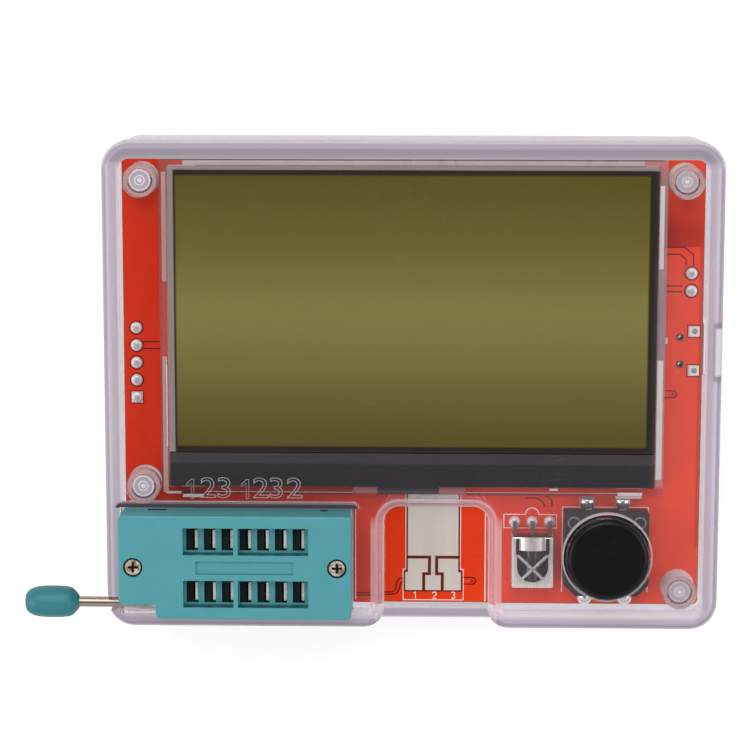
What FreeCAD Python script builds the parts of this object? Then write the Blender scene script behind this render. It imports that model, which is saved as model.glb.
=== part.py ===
import FreeCAD
import Part
import Sketcher
import os
import re

# Handheld component tester: a board with a display, a lever socket and a push button between
# two clear shells. +Z is up out of the front face, +X right and +Y towards the display's top edge.
# The origin is the middle of the flat base. All sizes are in millimetres.

doc = FreeCAD.newDocument("ComponentTester")

SLOT_COLUMNS = 7
SLOTS_BEFORE_DIVIDER = 3
HEADER_PINS = 5
MCU_LEADS_PER_SIDE = 8
CHARGER_LEADS_PER_SIDE = 4
RESISTORS_PER_SIDE = 6

SIZES = {
    # Case: two clear shells that meet at the level of the board's top face.
    "case_length": 70.2,
    "case_corner": 4.0,
    "wall": 1.5,
    "floor_thick": 1.6,
    "face_thick": 1.4,
    "cavity_depth": 10.4,
    "front_edge_round": 1.1,
    "rear_edge_round": 2.4,
    "rear_inset": 0.2,
    # Test bay: the notch in the front shell that bares the test pads.
    "bay_zif_gap": 3.28,
    "bay_width": 14.9,
    "bay_rise": 0.46,
    "bay_wall": 1.3,
    "bay_corner": 2.2,
    "bay_mouth_corner": 3.0,
    "bay_wall_lift": 0.15,
    # Pegs of the rear shell, which pass the board and press into sockets of the front shell.
    "peg_wall_gap": 1.35,
    "peg_frame_gap": 0.2,
    "peg_zif_gap": 0.31,
    "peg_high_inset": 4.2,
    "peg_low_inset": 3.8,
    "peg_radius": 1.6,
    "peg_rise": 3.4,
    "peg_fit": 0.04,
    "boss_radius": 2.6,
    "peg_socket_radius": 2.45,
    # Circuit board and the holes for leads.
    "board_side_gap": 0.6,
    "board_end_gap": 0.8,
    "board_thick": 1.6,
    "board_corner": 0.8,
    "hole_gap": 0.1,
    "solder_radius": 0.85,
    "solder_rise": 0.65,
    # Tinned lands for surface-mount parts, bared by the test bay.
    "land_shift": 0.43,
    "land_width": 7.36,
    "land_low_inset": 7.93,
    "land_gap": 0.45,
    "land_reach": 4.07,
    "land_shoulder_inset": 5.45,
    "land_end_inset": 2.77,
    "stem_width": 0.6,
    "middle_land_width": 2.27,
    "pad_thick": 0.05,
    # Display module: backlight, two glasses, polariser, ledge with driver chip and flexible tail.
    "glass_width": 69.6,
    "glass_thick": 0.7,
    "ledge_depth": 5.0,
    "backlight_thick": 2.5,
    "polariser_thick": 0.2,
    "polariser_margin": 0.5,
    "display_headroom": 0.6,
    "display_gap": 0.95,
    "frame_bay_gap": 0.15,
    "frame_rim": 1.1,
    "frame_fit": 0.15,
    "frame_rise": 3.7,
    "chip_length": 16.0,
    "chip_depth": 1.8,
    "chip_rise": 0.5,
    "tape_thick": 0.7,
    "tail_shift": 0.4,
    "tail_width": 16.2,
    "tail_thick": 0.15,
    "tail_grip": 1.4,
    "tail_drop": 0.5,
    "tail_foot": 0.55,
    # Lever socket: base, cover, comb slider, contacts, lever and screws.
    "zif_side_gap": 0.82,
    "zif_low_gap": 0.84,
    "zif_width": 15.0,
    "zif_end": 6.74,
    "zif_stand": 0.4,
    "zif_split": 6.6,
    "zif_height": 10.8,
    "zif_corner": 0.7,
    "zif_edge_round": 0.25,
    "zif_hole_gap": 0.3,
    "pitch": 2.54,
    "row_gap": 7.62,
    "slot_inset": 9.52,
    "slot_width": 1.7,
    "slot_length": 3.3,
    "trough_width": 3.9,
    "trough_depth": 2.0,
    "trough_web": 0.4,
    "trough_margin": 0.3,
    "divider_width": 0.64,
    "label_length": 13.95,
    "label_width": 1.86,
    "label_depth": 0.3,
    "zif_floor": 1.6,
    "zif_foot_inset": 5.0,
    "zif_foot_length": 2.8,
    "contact_thick": 0.38,
    "contact_width": 2.6,
    "contact_gap": 0.3,
    "tail_pin_width": 0.5,
    "slider_travel": 0.8,
    "slider_fit": 0.15,
    "slider_end": 1.0,
    "slider_side": 1.3,
    "slider_floor_gap": 0.3,
    "slider_top_gap": 0.2,
    "arm_inset": 1.0,
    "arm_width": 3.2,
    "arm_leg": 0.9,
    "cam_margin": 0.04,
    "cam_fit": 0.08,
    "cam_overhang": 0.2,
    "axle_tip": 0.8,
    "notch_length": 5.25,
    "notch_width": 2.0,
    "rod_radius": 0.76,
    "rod_fit": 0.06,
    "rod_bend": 1.0,
    "lever_inset": 4.33,
    "lever_side": 0.96,
    "lever_rise": 4.5,
    "lever_slot_gap": 0.35,
    "knob_reach": 18.65,
    "knob_length": 7.9,
    "knob_radius": 2.35,
    "knob_round": 1.9,
    "knob_grip": 5.0,
    "cover_screw_inset": 2.06,
    "cover_screw_radius": 0.85,
    "cover_screw_fit": 0.04,
    "screw_head_radius": 1.25,
    "screw_head_rise": 0.8,
    "screw_recess_radius": 1.4,
    "screw_recess_depth": 1.0,
    "screw_length": 8.0,
    "cross_width": 0.35,
    "cross_length": 1.5,
    "cross_depth": 0.45,
    # Push button: square switch with a round cap.
    "ir_button_gap": 1.28,
    "button_peg_gap": 1.82,
    "button_inset": 9.13,
    "switch_width": 12.1,
    "switch_chamfer": 1.6,
    "housing_rise": 3.2,
    "plate_thick": 0.8,
    "rivet_inset": 1.3,
    "rivet_radius": 0.7,
    "rivet_rise": 0.1,
    "well_radius": 3.6,
    "well_floor": 1.0,
    "dome_side": 0.4,
    "dome_rise": 0.35,
    "dome_thick": 0.12,
    "button_travel": 0.3,
    "dome_gap": 0.05,
    "flange_side": 0.3,
    "flange_gap": 0.1,
    "stem_radius": 1.9,
    "stem_fit": 0.03,
    "stem_rise": 6.2,
    "plate_hole_gap": 0.25,
    "cap_radius": 5.95,
    "cap_lift": 0.45,
    "cap_rise": 8.0,
    "cap_round": 0.9,
    "cap_rim": 1.0,
    "cap_boss": 1.1,
    "cap_roof": 1.4,
    "cap_hole_gap": 0.35,
    "switch_pin_x": 2.5,
    "switch_pin_out": 0.95,
    "switch_pin_width": 0.9,
    "switch_pin_thick": 0.35,
    "switch_pin_rise": 1.0,
    # Infrared receiver, lying flat in its folded metal shield.
    "ir_bay_gap": 2.15,
    "ir_inset": 4.15,
    "ir_width": 6.1,
    "ir_length": 7.6,
    "ir_rise": 3.9,
    "ir_metal": 0.25,
    "ir_lens_radius": 2.0,
    "ir_lens_gap": 0.2,
    "ir_window_width": 4.5,
    "ir_window_length": 4.6,
    "ir_window_low": 1.0,
    "ir_bar": 0.35,
    "ir_hood_width": 3.6,
    "ir_hood_length": 1.7,
    "ir_hood_inset": 0.05,
    "ir_hood_rise": 0.5,
    "ir_hood_round": 0.4,
    "ir_headroom": 0.3,
    "ir_lead_out": 1.4,
    "ir_lead_width": 0.5,
    "ir_lead_rise": 1.6,
    # Charging socket on the underside at the right edge.
    "usb_y": 4.78,
    "usb_width": 7.6,
    "usb_depth": 5.4,
    "usb_height": 2.7,
    "usb_proud": 0.35,
    "usb_metal": 0.3,
    "usb_back": 1.2,
    "usb_tongue_width": 4.2,
    "usb_tongue_thick": 0.7,
    "usb_tongue_setback": 0.8,
    "usb_leg_inset": 1.15,
    "usb_leg_gap": 5.7,
    "usb_leg_length": 1.0,
    "usb_leg_width": 0.4,
    "usb_land": 1.4,
    "usb_land_thick": 0.15,
    "usb_peg_inset": 3.22,
    "usb_peg_gap": 3.9,
    "usb_peg_radius": 0.4,
    "usb_peg_short": 0.4,
    "usb_cut_gap": 0.3,
    "usb_cut_drop": 0.8,
    # Cell that powers the tester, its pad, protection board and two leads.
    "cell_x": -1.0,
    "cell_y": 9.0,
    "cell_length": 50.0,
    "cell_width": 34.0,
    "cell_thick": 5.2,
    "cell_round": 2.0,
    "cell_pad_thick": 0.5,
    "cell_pad_inset": 6.0,
    "cell_board_depth": 3.0,
    "cell_board_inset": 4.0,
    "cell_board_thick": 2.4,
    "cell_rib_thick": 1.2,
    "cell_rib_rise": 2.6,
    "cell_rib_gap": 0.3,
    "cell_rib_length": 30.0,
    "wire_inset": 1.76,
    "wire_high_y": 16.0,
    "wire_gap": 2.54,
    "wire_radius": 0.6,
    "wire_core": 0.35,
    "wire_bend": 4.2,
    # Five pin programming header on the underside at the left edge.
    "header_inset": 1.83,
    "header_high_y": 7.82,
    "header_width": 2.5,
    "header_rise": 2.5,
    "header_pin": 0.64,
    "header_floor_gap": 1.9,
    # Chips and small parts soldered to the underside.
    "mcu_shift": 0.55,
    "mcu_inset": 10.6,
    "mcu_width": 7.0,
    "mcu_rise": 1.1,
    "mcu_lift": 0.15,
    "mcu_pitch": 0.8,
    "mcu_lead_reach": 1.0,
    "mcu_lead_width": 0.37,
    "lead_thick": 0.15,
    "charger_side_inset": 8.7,
    "charger_end_inset": 24.6,
    "charger_length": 4.9,
    "charger_width": 3.9,
    "charger_rise": 1.5,
    "charger_pitch": 1.27,
    "charger_lead_reach": 1.05,
    "charger_lead_width": 0.4,
    "crystal_gap": 2.95,
    "crystal_length": 11.4,
    "crystal_width": 4.7,
    "crystal_rise": 3.4,
    "crystal_round": 2.1,
    "coil_side_inset": 17.2,
    "coil_end_inset": 21.6,
    "coil_radius": 2.6,
    "coil_rise": 3.0,
    "coil_flange": 0.6,
    "coil_core_radius": 1.9,
    "coil_fit": 0.05,
    "chip_part_length": 2.0,
    "chip_part_width": 1.25,
    "resistor_rise": 0.55,
    "capacitor_rise": 1.0,
    "chip_end": 0.4,
    "part_gap": 0.6,
    "part_row": 2.2,
    "part_column": 3.4,
    "sot_shift": 5.08,
    "sot_end_inset": 21.6,
    "sot_spacing": 7.5,
    "sot_length": 2.9,
    "sot_width": 1.4,
    "sot_rise": 1.0,
    "sot_pitch": 0.95,
    "sot_lead_reach": 0.55,
    "sot_lead_width": 0.4,
}

PLACES = {
    # Levels above the base. The face clears the display and the infrared receiver.
    "board_bottom": "floor_thick + cavity_depth",
    "board_top": "board_bottom + board_thick",
    "rear_glass_low": "board_top + backlight_thick",
    "front_glass_low": "rear_glass_low + glass_thick",
    "polariser_low": "front_glass_low + glass_thick",
    "polariser_top": "polariser_low + polariser_thick",
    "ir_top": "board_top + ir_rise",
    "hood_top": "ir_top + ir_hood_rise",
    "face_under": "max(polariser_top + display_headroom; hood_top + ir_headroom)",
    "face_top": "face_under + face_thick",
    "peg_top": "board_top + peg_rise",
    # Half the room inside the case: for the display between its pegs, or for the row below it.
    "glass_x": "glass_width / 2",
    "frame_x": "glass_x + frame_fit + frame_rim",
    "button_hole": "cap_radius + cap_hole_gap",
    "zif_length": f"slot_inset + {SLOT_COLUMNS - 1} * pitch + slot_width + zif_end",
    "peg_side": "2 * peg_socket_radius + peg_wall_gap",
    "display_room": "frame_x + peg_frame_gap + peg_side",
    "socket_room": "zif_side_gap + zif_length",
    "bay_room": "bay_zif_gap + bay_width + 2 * bay_wall",
    "ir_room": "ir_bay_gap + ir_width",
    "button_room": "ir_button_gap + 2 * button_hole + button_peg_gap",
    "row_room": "(socket_room + bay_room + ir_room + button_room + peg_side) / 2",
    # Edges of the shells and of the board.
    "inner_x": "max(display_room; row_room)",
    "inner_y": "case_length / 2 - wall",
    "front_x": "inner_x + wall",
    "front_y": "inner_y + wall",
    "rear_x": "front_x - rear_inset",
    "rear_y": "front_y - rear_inset",
    "rear_inner_x": "rear_x - wall",
    "rear_inner_y": "rear_y - wall",
    "board_x": "rear_inner_x - board_side_gap",
    "board_y": "rear_inner_y - board_end_gap",
    # The row along the lower edge: lever socket, test bay, infrared receiver and push button.
    "zif_left": "-inner_x + zif_side_gap",
    "zif_right": "zif_left + zif_length",
    "zif_x": "(zif_left + zif_right) / 2",
    "zif_low": "-inner_y + zif_low_gap",
    "zif_high": "zif_low + zif_width",
    "zif_y": "(zif_low + zif_high) / 2",
    "bay_left_out": "zif_right + bay_zif_gap",
    "bay_left": "bay_left_out + bay_wall",
    "bay_right": "bay_left + bay_width",
    "bay_right_out": "bay_right + bay_wall",
    "bay_x": "(bay_left + bay_right) / 2",
    "bay_top": "zif_high + bay_rise",
    "bay_top_out": "bay_top + bay_wall",
    "ir_left": "bay_right_out + ir_bay_gap",
    "ir_right": "ir_left + ir_width",
    "ir_x": "(ir_left + ir_right) / 2",
    "ir_low": "-inner_y + ir_inset",
    "ir_high": "ir_low + ir_length",
    "ir_lead_y": "ir_high + ir_lead_out",
    "button_x": "ir_right + ir_button_gap + button_hole",
    "button_y": "-inner_y + button_inset",
    # Pegs: beside the display, above the lever socket and beside the button.
    "peg_x": "inner_x - peg_wall_gap - peg_socket_radius",
    "peg_high_y": "inner_y - peg_high_inset",
    "peg_left_y": "zif_high + zif_hole_gap + peg_zif_gap + peg_socket_radius",
    "peg_right_y": "-inner_y + peg_low_inset",
    # Test lands.
    "land_x": "bay_x - land_shift",
    "land_left": "land_x - land_width / 2",
    "land_right": "land_x + land_width / 2",
    "land_low": "-inner_y + land_low_inset",
    "land_shoulder": "-inner_y + land_shoulder_inset",
    "land_end": "-inner_y + land_end_inset",
    # Display, between the upper wall and the row.
    "frame_high": "inner_y - display_gap",
    "frame_low": "bay_top_out + frame_bay_gap",
    "glass_top": "frame_high - frame_rim - frame_fit",
    "glass_bottom": "frame_low + frame_rim + frame_fit",
    "ledge_top": "glass_bottom + ledge_depth",
    "tail_left": "-tail_shift - tail_width / 2",
    "tail_right": "-tail_shift + tail_width / 2",
    # Lever socket.
    "zif_foot": "board_top + zif_stand",
    "zif_joint": "board_top + zif_split",
    "zif_top": "board_top + zif_height",
    "zif_well": "zif_foot + zif_floor",
    "trough_floor": "zif_top - trough_depth",
    "trough_under": "trough_floor - trough_web",
    "slot_first": "zif_left + slot_inset",
    "slot_last": f"slot_first + {SLOT_COLUMNS - 1} * pitch",
    "row_high": "zif_y + row_gap / 2",
    "row_low": "zif_y - row_gap / 2",
    "notch_right": "zif_left + notch_length",
    "notch_high": "zif_low + notch_width",
    "lever_x": "zif_left + lever_inset",
    "lever_y": "zif_low + lever_side",
    "lever_z": "board_top + lever_rise",
    "cam_x": "lever_x + slider_travel / 2",
    "cam_z": "lever_z - slider_travel / 2",
    "cam_radius": "slider_travel / sqrt(2) + rod_radius + cam_margin",
    "contact_left": "slot_width - contact_thick - cam_margin",
    "window_left": "contact_left - contact_gap",
    "window_right": "contact_left + contact_thick + slider_travel + cam_fit",
    "slider_left": "slot_first - slider_end",
    "slider_right": "slot_last + window_right + slider_end",
    "slider_low": "zif_low + slider_side + slider_fit",
    "slider_high": "zif_high - slider_side - slider_fit",
    "slider_base": "zif_well + slider_floor_gap",
    "slider_top": "trough_under - slider_top_gap",
    "arm_high": "slider_high - arm_inset",
    "arm_low": "arm_high - arm_width",
    "arm_top": "zif_joint - slider_top_gap",
    "fork_left": "cam_x - cam_radius - cam_fit",
    "fork_right": "cam_x + cam_radius + cam_fit",
    "arm_left": "fork_left - arm_leg",
    "fork_top": "cam_z + cam_radius + cam_fit",
    "well_left": "slider_left - slider_travel - slider_fit",
    "arm_well_left": "arm_left - slider_travel - slider_fit",
    "axle_end": "arm_high + cam_overhang + axle_tip",
    "cover_screw_left": "zif_left + cover_screw_inset",
    "cover_screw_right": "zif_right - cover_screw_inset",
    "screw_seat": "zif_top - screw_recess_depth",
    "knob_tip": "lever_x - knob_reach",
    "knob_mouth": "knob_tip + knob_length",
    # Push button.
    "switch_half": "switch_width / 2",
    "switch_pin_y": "switch_half + switch_pin_out",
    "rivet_offset": "switch_half - rivet_inset",
    "housing_top": "board_top + housing_rise",
    "plate_top": "housing_top + plate_thick",
    "well_base": "board_top + well_floor",
    "dome_radius": "well_radius - dome_side",
    "dome_top": "well_base + dome_rise + dome_thick",
    "plunger_low": "dome_top + button_travel + dome_gap",
    "flange_radius": "well_radius - flange_side",
    "flange_top": "housing_top - flange_gap",
    "stem_top": "board_top + stem_rise",
    "cap_low": "plate_top + cap_lift",
    "cap_top": "board_top + cap_rise",
    # Infrared receiver.
    "ir_window_base": "ir_low + ir_window_low",
    "ir_window_mid": "ir_window_base + ir_window_length / 2",
    # Charging socket.
    "usb_mouth": "board_x + usb_proud",
    "usb_rear": "usb_mouth - usb_depth",
    "usb_low": "board_bottom - usb_height",
    "usb_leg_x": "board_x - usb_leg_inset",
    "usb_peg_x": "board_x - usb_peg_inset",
    # Cell and its leads.
    "cell_left": "cell_x - cell_length / 2",
    "cell_right": "cell_x + cell_length / 2",
    "cell_low_y": "cell_y - cell_width / 2",
    "cell_high_y": "cell_y + cell_width / 2",
    "cell_base": "floor_thick + cell_pad_thick",
    "cell_top": "cell_base + cell_thick",
    "cell_board_end": "cell_right + cell_board_depth",
    "wire_x": "board_x - wire_inset",
    "wire_level": "cell_base + cell_thick / 2",
    # Programming header.
    "header_x": "-board_x + header_inset",
    "header_low_y": f"header_high_y - {HEADER_PINS - 1} * pitch",
    "header_base": "board_bottom - header_rise",
    # Small parts on the underside.
    "mcu_x": "bay_x - mcu_shift",
    "mcu_y": "-inner_y + mcu_inset",
    "mcu_reach": "mcu_width / 2 + mcu_lead_reach + part_gap",
    "charger_x": "board_x - charger_side_inset",
    "charger_y": "-inner_y + charger_end_inset",
    "crystal_y": "mcu_y + mcu_width / 2 + crystal_gap + crystal_width / 2",
    "coil_x": "board_x - coil_side_inset",
    "coil_y": "-inner_y + coil_end_inset",
    "coil_side": "coil_radius + part_gap + chip_part_length / 2",
    "sot_x": "zif_x + sot_shift",
    "sot_y": "-inner_y + sot_end_inset",
}

TURNS = {
    "X": FreeCAD.Rotation(FreeCAD.Vector(0, 1, 0), 90),
    "Y": FreeCAD.Rotation(FreeCAD.Vector(1, 0, 0), -90),
    "Z": FreeCAD.Rotation(),
}

nodes = []


def qualified(word):
    if word in SIZES:
        return "Sizes." + word
    if word in PLACES:
        return "Places." + word
    return word


def formula(text):
    return re.sub(r"[A-Za-z_]\w*", lambda found: qualified(found.group()), str(text))


def fill_sheet(name, cells, convert):
    sheet = doc.addObject("Spreadsheet::Sheet", name)
    for row, (alias, content) in enumerate(cells.items(), start=1):
        sheet.set(f"A{row}", alias)
        sheet.set(f"B{row}", convert(content))
        sheet.setAlias(f"B{row}", alias)
    doc.recompute()
    return sheet


def place_formula(text):
    return "=" + formula(text).replace("Places.", "")


sizes = fill_sheet("Sizes", SIZES, str)
places = fill_sheet("Places", PLACES, place_formula)


def number(name):
    sheet = sizes if name in SIZES else places
    return float(sheet.get(name))


def bind(item, values):
    for path, text in values.items():
        item.setExpression(path, formula(text))


def span(ends):
    return f"({ends[1]}) - ({ends[0]})"


def around(centre, width):
    return (f"({centre}) - ({width}) / 2", f"({centre}) + ({width}) / 2")


def keep(item, label):
    item.Label = label
    nodes.append(item)
    return item


# Plain solids, each bound to the sheets.

def block(x, y, z):
    item = doc.addObject("Part::Box", "block")
    bind(item, {"Length": span(x), "Width": span(y), "Height": span(z),
                "Placement.Base.x": x[0], "Placement.Base.y": y[0], "Placement.Base.z": z[0]})
    return item


def drum(axis, centre, ends, radius):
    item = doc.addObject("Part::Cylinder", "drum")
    item.Placement.Rotation = TURNS[axis]
    start = list(centre)
    start.insert("XYZ".index(axis), ends[0])
    bind(item, {"Radius": radius, "Height": span(ends), "Placement.Base.x": start[0],
                "Placement.Base.y": start[1], "Placement.Base.z": start[2]})
    return item


def bead(x, y, z, radius, rise, upward=True):
    item = doc.addObject("Part::Ellipsoid", "bead")
    item.Angle1 = 0 if upward else -90
    item.Angle2 = 90 if upward else 0
    bind(item, {"Radius1": rise, "Radius2": radius, "Radius3": radius, "Placement.Base.x": x,
                "Placement.Base.y": y, "Placement.Base.z": z})
    return item


def quarter_bend(centre, bend, radius, turn):
    item = doc.addObject("Part::Torus", "bend")
    item.Angle3 = 90
    item.Placement.Rotation = turn
    bind(item, {"Radius1": bend, "Radius2": radius, "Placement.Base.x": centre[0],
                "Placement.Base.y": centre[1], "Placement.Base.z": centre[2]})
    return item


def join(items):
    whole = doc.addObject("Part::MultiFuse", "joined")
    whole.Shapes = items
    whole.Refine = True
    return whole


def bundle(items):
    group = doc.addObject("Part::Compound", "group")
    group.Links = items
    return group


def cut(base, tools):
    item = doc.addObject("Part::Cut", "cut")
    item.Base = base
    item.Tool = tools[0] if len(tools) == 1 else bundle(tools)
    return item


def softened(base, radius, chosen):
    doc.recompute()
    item = doc.addObject("Part::Fillet", "rounded")
    item.Base = base
    item.Edges = [(count, radius, radius) for count, edge in enumerate(base.Shape.Edges, start=1)
                  if chosen(edge)]
    return item


# Ways to pick edges of a finished shape.

def is_upright(edge):
    return edge.Curve.TypeId == "Part::GeomLine" and abs(edge.tangentAt(edge.FirstParameter).z) > 0.999


def upright_near(points):
    def chosen(edge):
        if not is_upright(edge):
            return False
        middle = edge.CenterOfMass
        return any(abs(middle.x - x) < 0.01 and abs(middle.y - y) < 0.01 for x, y in points)
    return chosen


def corners_of(half_width, half_length):
    x, y = number(half_width), number(half_length)
    return [(-x, -y), (x, -y), (x, y), (-x, y)]


def level_at(height):
    def chosen(edge):
        box = edge.BoundBox
        return abs(box.ZMin - height) < 0.001 and abs(box.ZMax - height) < 0.001
    return chosen


class Piece:
    # A body made of sketched pads and pockets, as moulded and cut pieces are.

    def __init__(self, label):
        self.body = doc.addObject("PartDesign::Body", label)
        keep(self.body, label)

    def profile(self, level, rects, circles):
        sketch = self.body.newObject("Sketcher::SketchObject", "profile")
        plane = next(item for item in self.body.Origin.OriginFeatures if item.Role == "XY_Plane")
        sketch.AttachmentSupport = [(plane, "")]
        sketch.MapMode = "FlatFace"
        sketch.setExpression("AttachmentOffset.Base.z", formula(level))
        for x, y in rects:
            draw_rectangle(sketch, x, y)
        for x, y, radius in circles:
            draw_circle(sketch, x, y, radius)
        return sketch

    def feature(self, kind, sketch, length):
        item = self.body.newObject("PartDesign::" + kind, kind.lower())
        item.Profile = sketch
        item.setExpression("Length", formula(length))
        return item

    def pad(self, z, rects=(), circles=()):
        self.feature("Pad", self.profile(z[0], rects, circles), span(z))
        doc.recompute()
        return self

    def pocket(self, z, rects=(), circles=()):
        before = self.body.Shape.Volume
        self.feature("Pocket", self.profile(z[1], rects, circles), span(z))
        doc.recompute()
        if self.body.Shape.Volume >= before:
            raise RuntimeError(f"a pocket of {self.body.Label} cuts nothing")
        return self

    def side_cut(self, x, y, z):
        item = self.body.newObject("PartDesign::SubtractiveBox", "side_cut")
        bind(item, {"Length": span(x), "Width": span(y), "Height": span(z),
                    "Placement.Base.x": x[0], "Placement.Base.y": y[0], "Placement.Base.z": z[0]})
        doc.recompute()
        return self

    def dress(self, kind, size_name, size, chosen):
        tip = self.body.Tip
        picked = [f"Edge{count}" for count, edge in enumerate(tip.Shape.Edges, start=1) if chosen(edge)]
        item = self.body.newObject("PartDesign::" + kind, kind.lower())
        item.Base = (tip, picked)
        item.setExpression(size_name, formula(size))
        doc.recompute()
        return self

    def fillet(self, radius, chosen):
        return self.dress("Fillet", "Radius", radius, chosen)

    def chamfer(self, size, chosen):
        return self.dress("Chamfer", "Size", size, chosen)


def draw_rectangle(sketch, x, y):
    corners = [FreeCAD.Vector(0, 0), FreeCAD.Vector(1, 0), FreeCAD.Vector(1, 1), FreeCAD.Vector(0, 1)]
    sides = [sketch.addGeometry(Part.LineSegment(corners[i], corners[(i + 1) % 4])) for i in range(4)]
    for i in range(4):
        sketch.addConstraint(Sketcher.Constraint("Coincident", sides[i], 2, sides[(i + 1) % 4], 1))
        sketch.addConstraint(Sketcher.Constraint("Vertical" if i % 2 else "Horizontal", sides[i]))
    for side, spot in ((0, 0), (2, 1)):
        across = sketch.addConstraint(Sketcher.Constraint("DistanceX", -1, 1, sides[side], 1, float(spot)))
        along = sketch.addConstraint(Sketcher.Constraint("DistanceY", -1, 1, sides[side], 1, float(spot)))
        sketch.setExpression(f"Constraints[{across}]", formula(x[spot]))
        sketch.setExpression(f"Constraints[{along}]", formula(y[spot]))


def draw_circle(sketch, x, y, radius):
    ring = sketch.addGeometry(Part.Circle(FreeCAD.Vector(0, 0), FreeCAD.Vector(0, 0, 1), 1))
    size = sketch.addConstraint(Sketcher.Constraint("Radius", ring, 1.0))
    across = sketch.addConstraint(Sketcher.Constraint("DistanceX", -1, 1, ring, 3, 0.0))
    along = sketch.addConstraint(Sketcher.Constraint("DistanceY", -1, 1, ring, 3, 0.0))
    sketch.setExpression(f"Constraints[{size}]", formula(radius))
    sketch.setExpression(f"Constraints[{across}]", formula(x))
    sketch.setExpression(f"Constraints[{along}]", formula(y))


# Places that several pieces share.

PEGS = [("-peg_x", "peg_high_y"), ("peg_x", "peg_high_y"),
        ("-peg_x", "peg_left_y"), ("peg_x", "peg_right_y")]
HEADER_SPOTS = [("header_x", f"header_high_y - {step} * pitch") for step in range(HEADER_PINS)]
WIRE_SPOTS = [("wire_x", "wire_high_y"), ("wire_x", "wire_high_y - wire_gap")]
USB_LEGS = [("usb_leg_x", "usb_y + usb_leg_gap / 2"), ("usb_leg_x", "usb_y - usb_leg_gap / 2")]
USB_PEGS = [("usb_peg_x", "usb_y + usb_peg_gap / 2"), ("usb_peg_x", "usb_y - usb_peg_gap / 2")]
IR_SPOTS = [(f"ir_x + {step} * pitch", "ir_lead_y") for step in (-1, 0, 1)]
SWITCH_PINS = [(f"button_x + {side} * switch_pin_x", f"button_y + {end} * switch_pin_y", end)
               for side in (-1, 1) for end in (-1, 1)]
RIVETS = [(f"button_x + {side} * rivet_offset", f"button_y + {end} * rivet_offset")
          for side in (-1, 1) for end in (-1, 1)]
SLOTS = [(f"slot_first + {column} * pitch", row) for row in ("row_high", "row_low")
         for column in range(SLOT_COLUMNS)]
CONTACT_TAILS = [(f"{left} + contact_left + contact_thick / 2", row) for left, row in SLOTS]

# Small parts on the underside: a column of six resistors each side of the controller, a row of
# capacitors below it and one or two beside the coil, the charging socket and the cell's leads.
RESISTOR_SPOTS = [(f"mcu_x + {side} * (mcu_reach + chip_part_length / 2)",
                   f"mcu_y + {step - (RESISTORS_PER_SIDE - 1) / 2} * part_row")
                  for side in (-1, 1) for step in range(RESISTORS_PER_SIDE)]
CAPACITOR_SPOTS = [(f"mcu_x + {step} * part_column", "mcu_y - mcu_reach - chip_part_width / 2")
                   for step in (-1, 0, 1)]
CAPACITOR_SPOTS += [("coil_x - coil_side", "coil_y"), ("coil_x + coil_side", "coil_y"),
                    ("usb_rear - chip_part_length", "usb_y"),
                    ("usb_rear - chip_part_length", "usb_y - part_row"),
                    ("header_x + part_column", "header_low_y"),
                    ("header_x + part_column", "header_low_y + part_row")]
TRANSISTOR_SPOTS = [(f"sot_x + {step} * sot_spacing", "sot_y") for step in (-1, 0, 1)]


def make_front_shell():
    shell = Piece("front_shell")
    shell.pad(("board_top", "face_top"), [(("-front_x", "front_x"), ("-front_y", "front_y"))])
    shell.pocket(("board_top", "face_top"), [(("bay_left", "bay_right"), ("-front_y - wall", "bay_top"))])
    front_y = number("front_y")
    shell.fillet("case_corner", upright_near(corners_of("front_x", "front_y")))
    bay_sides = (number("bay_left"), number("bay_right"))
    shell.fillet("bay_mouth_corner", upright_near([(x, -front_y) for x in bay_sides]))
    shell.fillet("bay_corner", upright_near([(x, number("bay_top")) for x in bay_sides]))
    shell.fillet("front_edge_round", level_at(number("face_top")))
    hollow_front_shell(shell)
    shell.pad(("board_top", "face_under"), circles=[(x, y, "peg_socket_radius") for x, y in PEGS])
    shell.pocket(("board_top", "peg_top + peg_fit"),
                 circles=[(x, y, "peg_radius + peg_fit") for x, y in PEGS])
    shell.pocket(("face_under", "face_top"), [(("zif_left - zif_hole_gap", "zif_right + zif_hole_gap"),
                                               ("zif_low - zif_hole_gap", "zif_high + zif_hole_gap"))])
    shell.pocket(("face_under", "face_top"), circles=[("button_x", "button_y", "button_hole")])
    reach = "(rod_radius + lever_slot_gap)"
    shell.side_cut(("-front_x - wall", "zif_left"), (f"lever_y - {reach}", f"lever_y + {reach}"),
                   (f"lever_z - {reach}", "face_top + wall"))


def hollow_front_shell(shell):
    # The cavity runs behind the display and down into the two lobes beside the bay.
    room = ("board_top", "face_under")
    shell.pocket(room, [(("-inner_x", "inner_x"), ("bay_top_out", "inner_y"))])
    shell.pocket(room, [(("-inner_x", "bay_left_out"), ("-inner_y", "bay_top_out"))])
    shell.pocket(room, [(("bay_right_out", "inner_x"), ("-inner_y", "bay_top_out"))])
    shell.fillet("case_corner - wall", upright_near(corners_of("inner_x", "inner_y")))
    bay_sides = (number("bay_left_out"), number("bay_right_out"))
    shell.fillet("bay_mouth_corner - bay_wall", upright_near([(x, -number("inner_y")) for x in bay_sides]))
    shell.fillet("bay_corner + bay_wall", upright_near([(x, number("bay_top_out")) for x in bay_sides]))
    # The bay's walls stop just above the test pads.
    shell.side_cut(("bay_left_out - bay_wall_lift", "bay_right_out + bay_wall_lift"),
                   ("-inner_y", "bay_top_out + bay_wall_lift"), ("board_top", "board_top + bay_wall_lift"))


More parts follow.
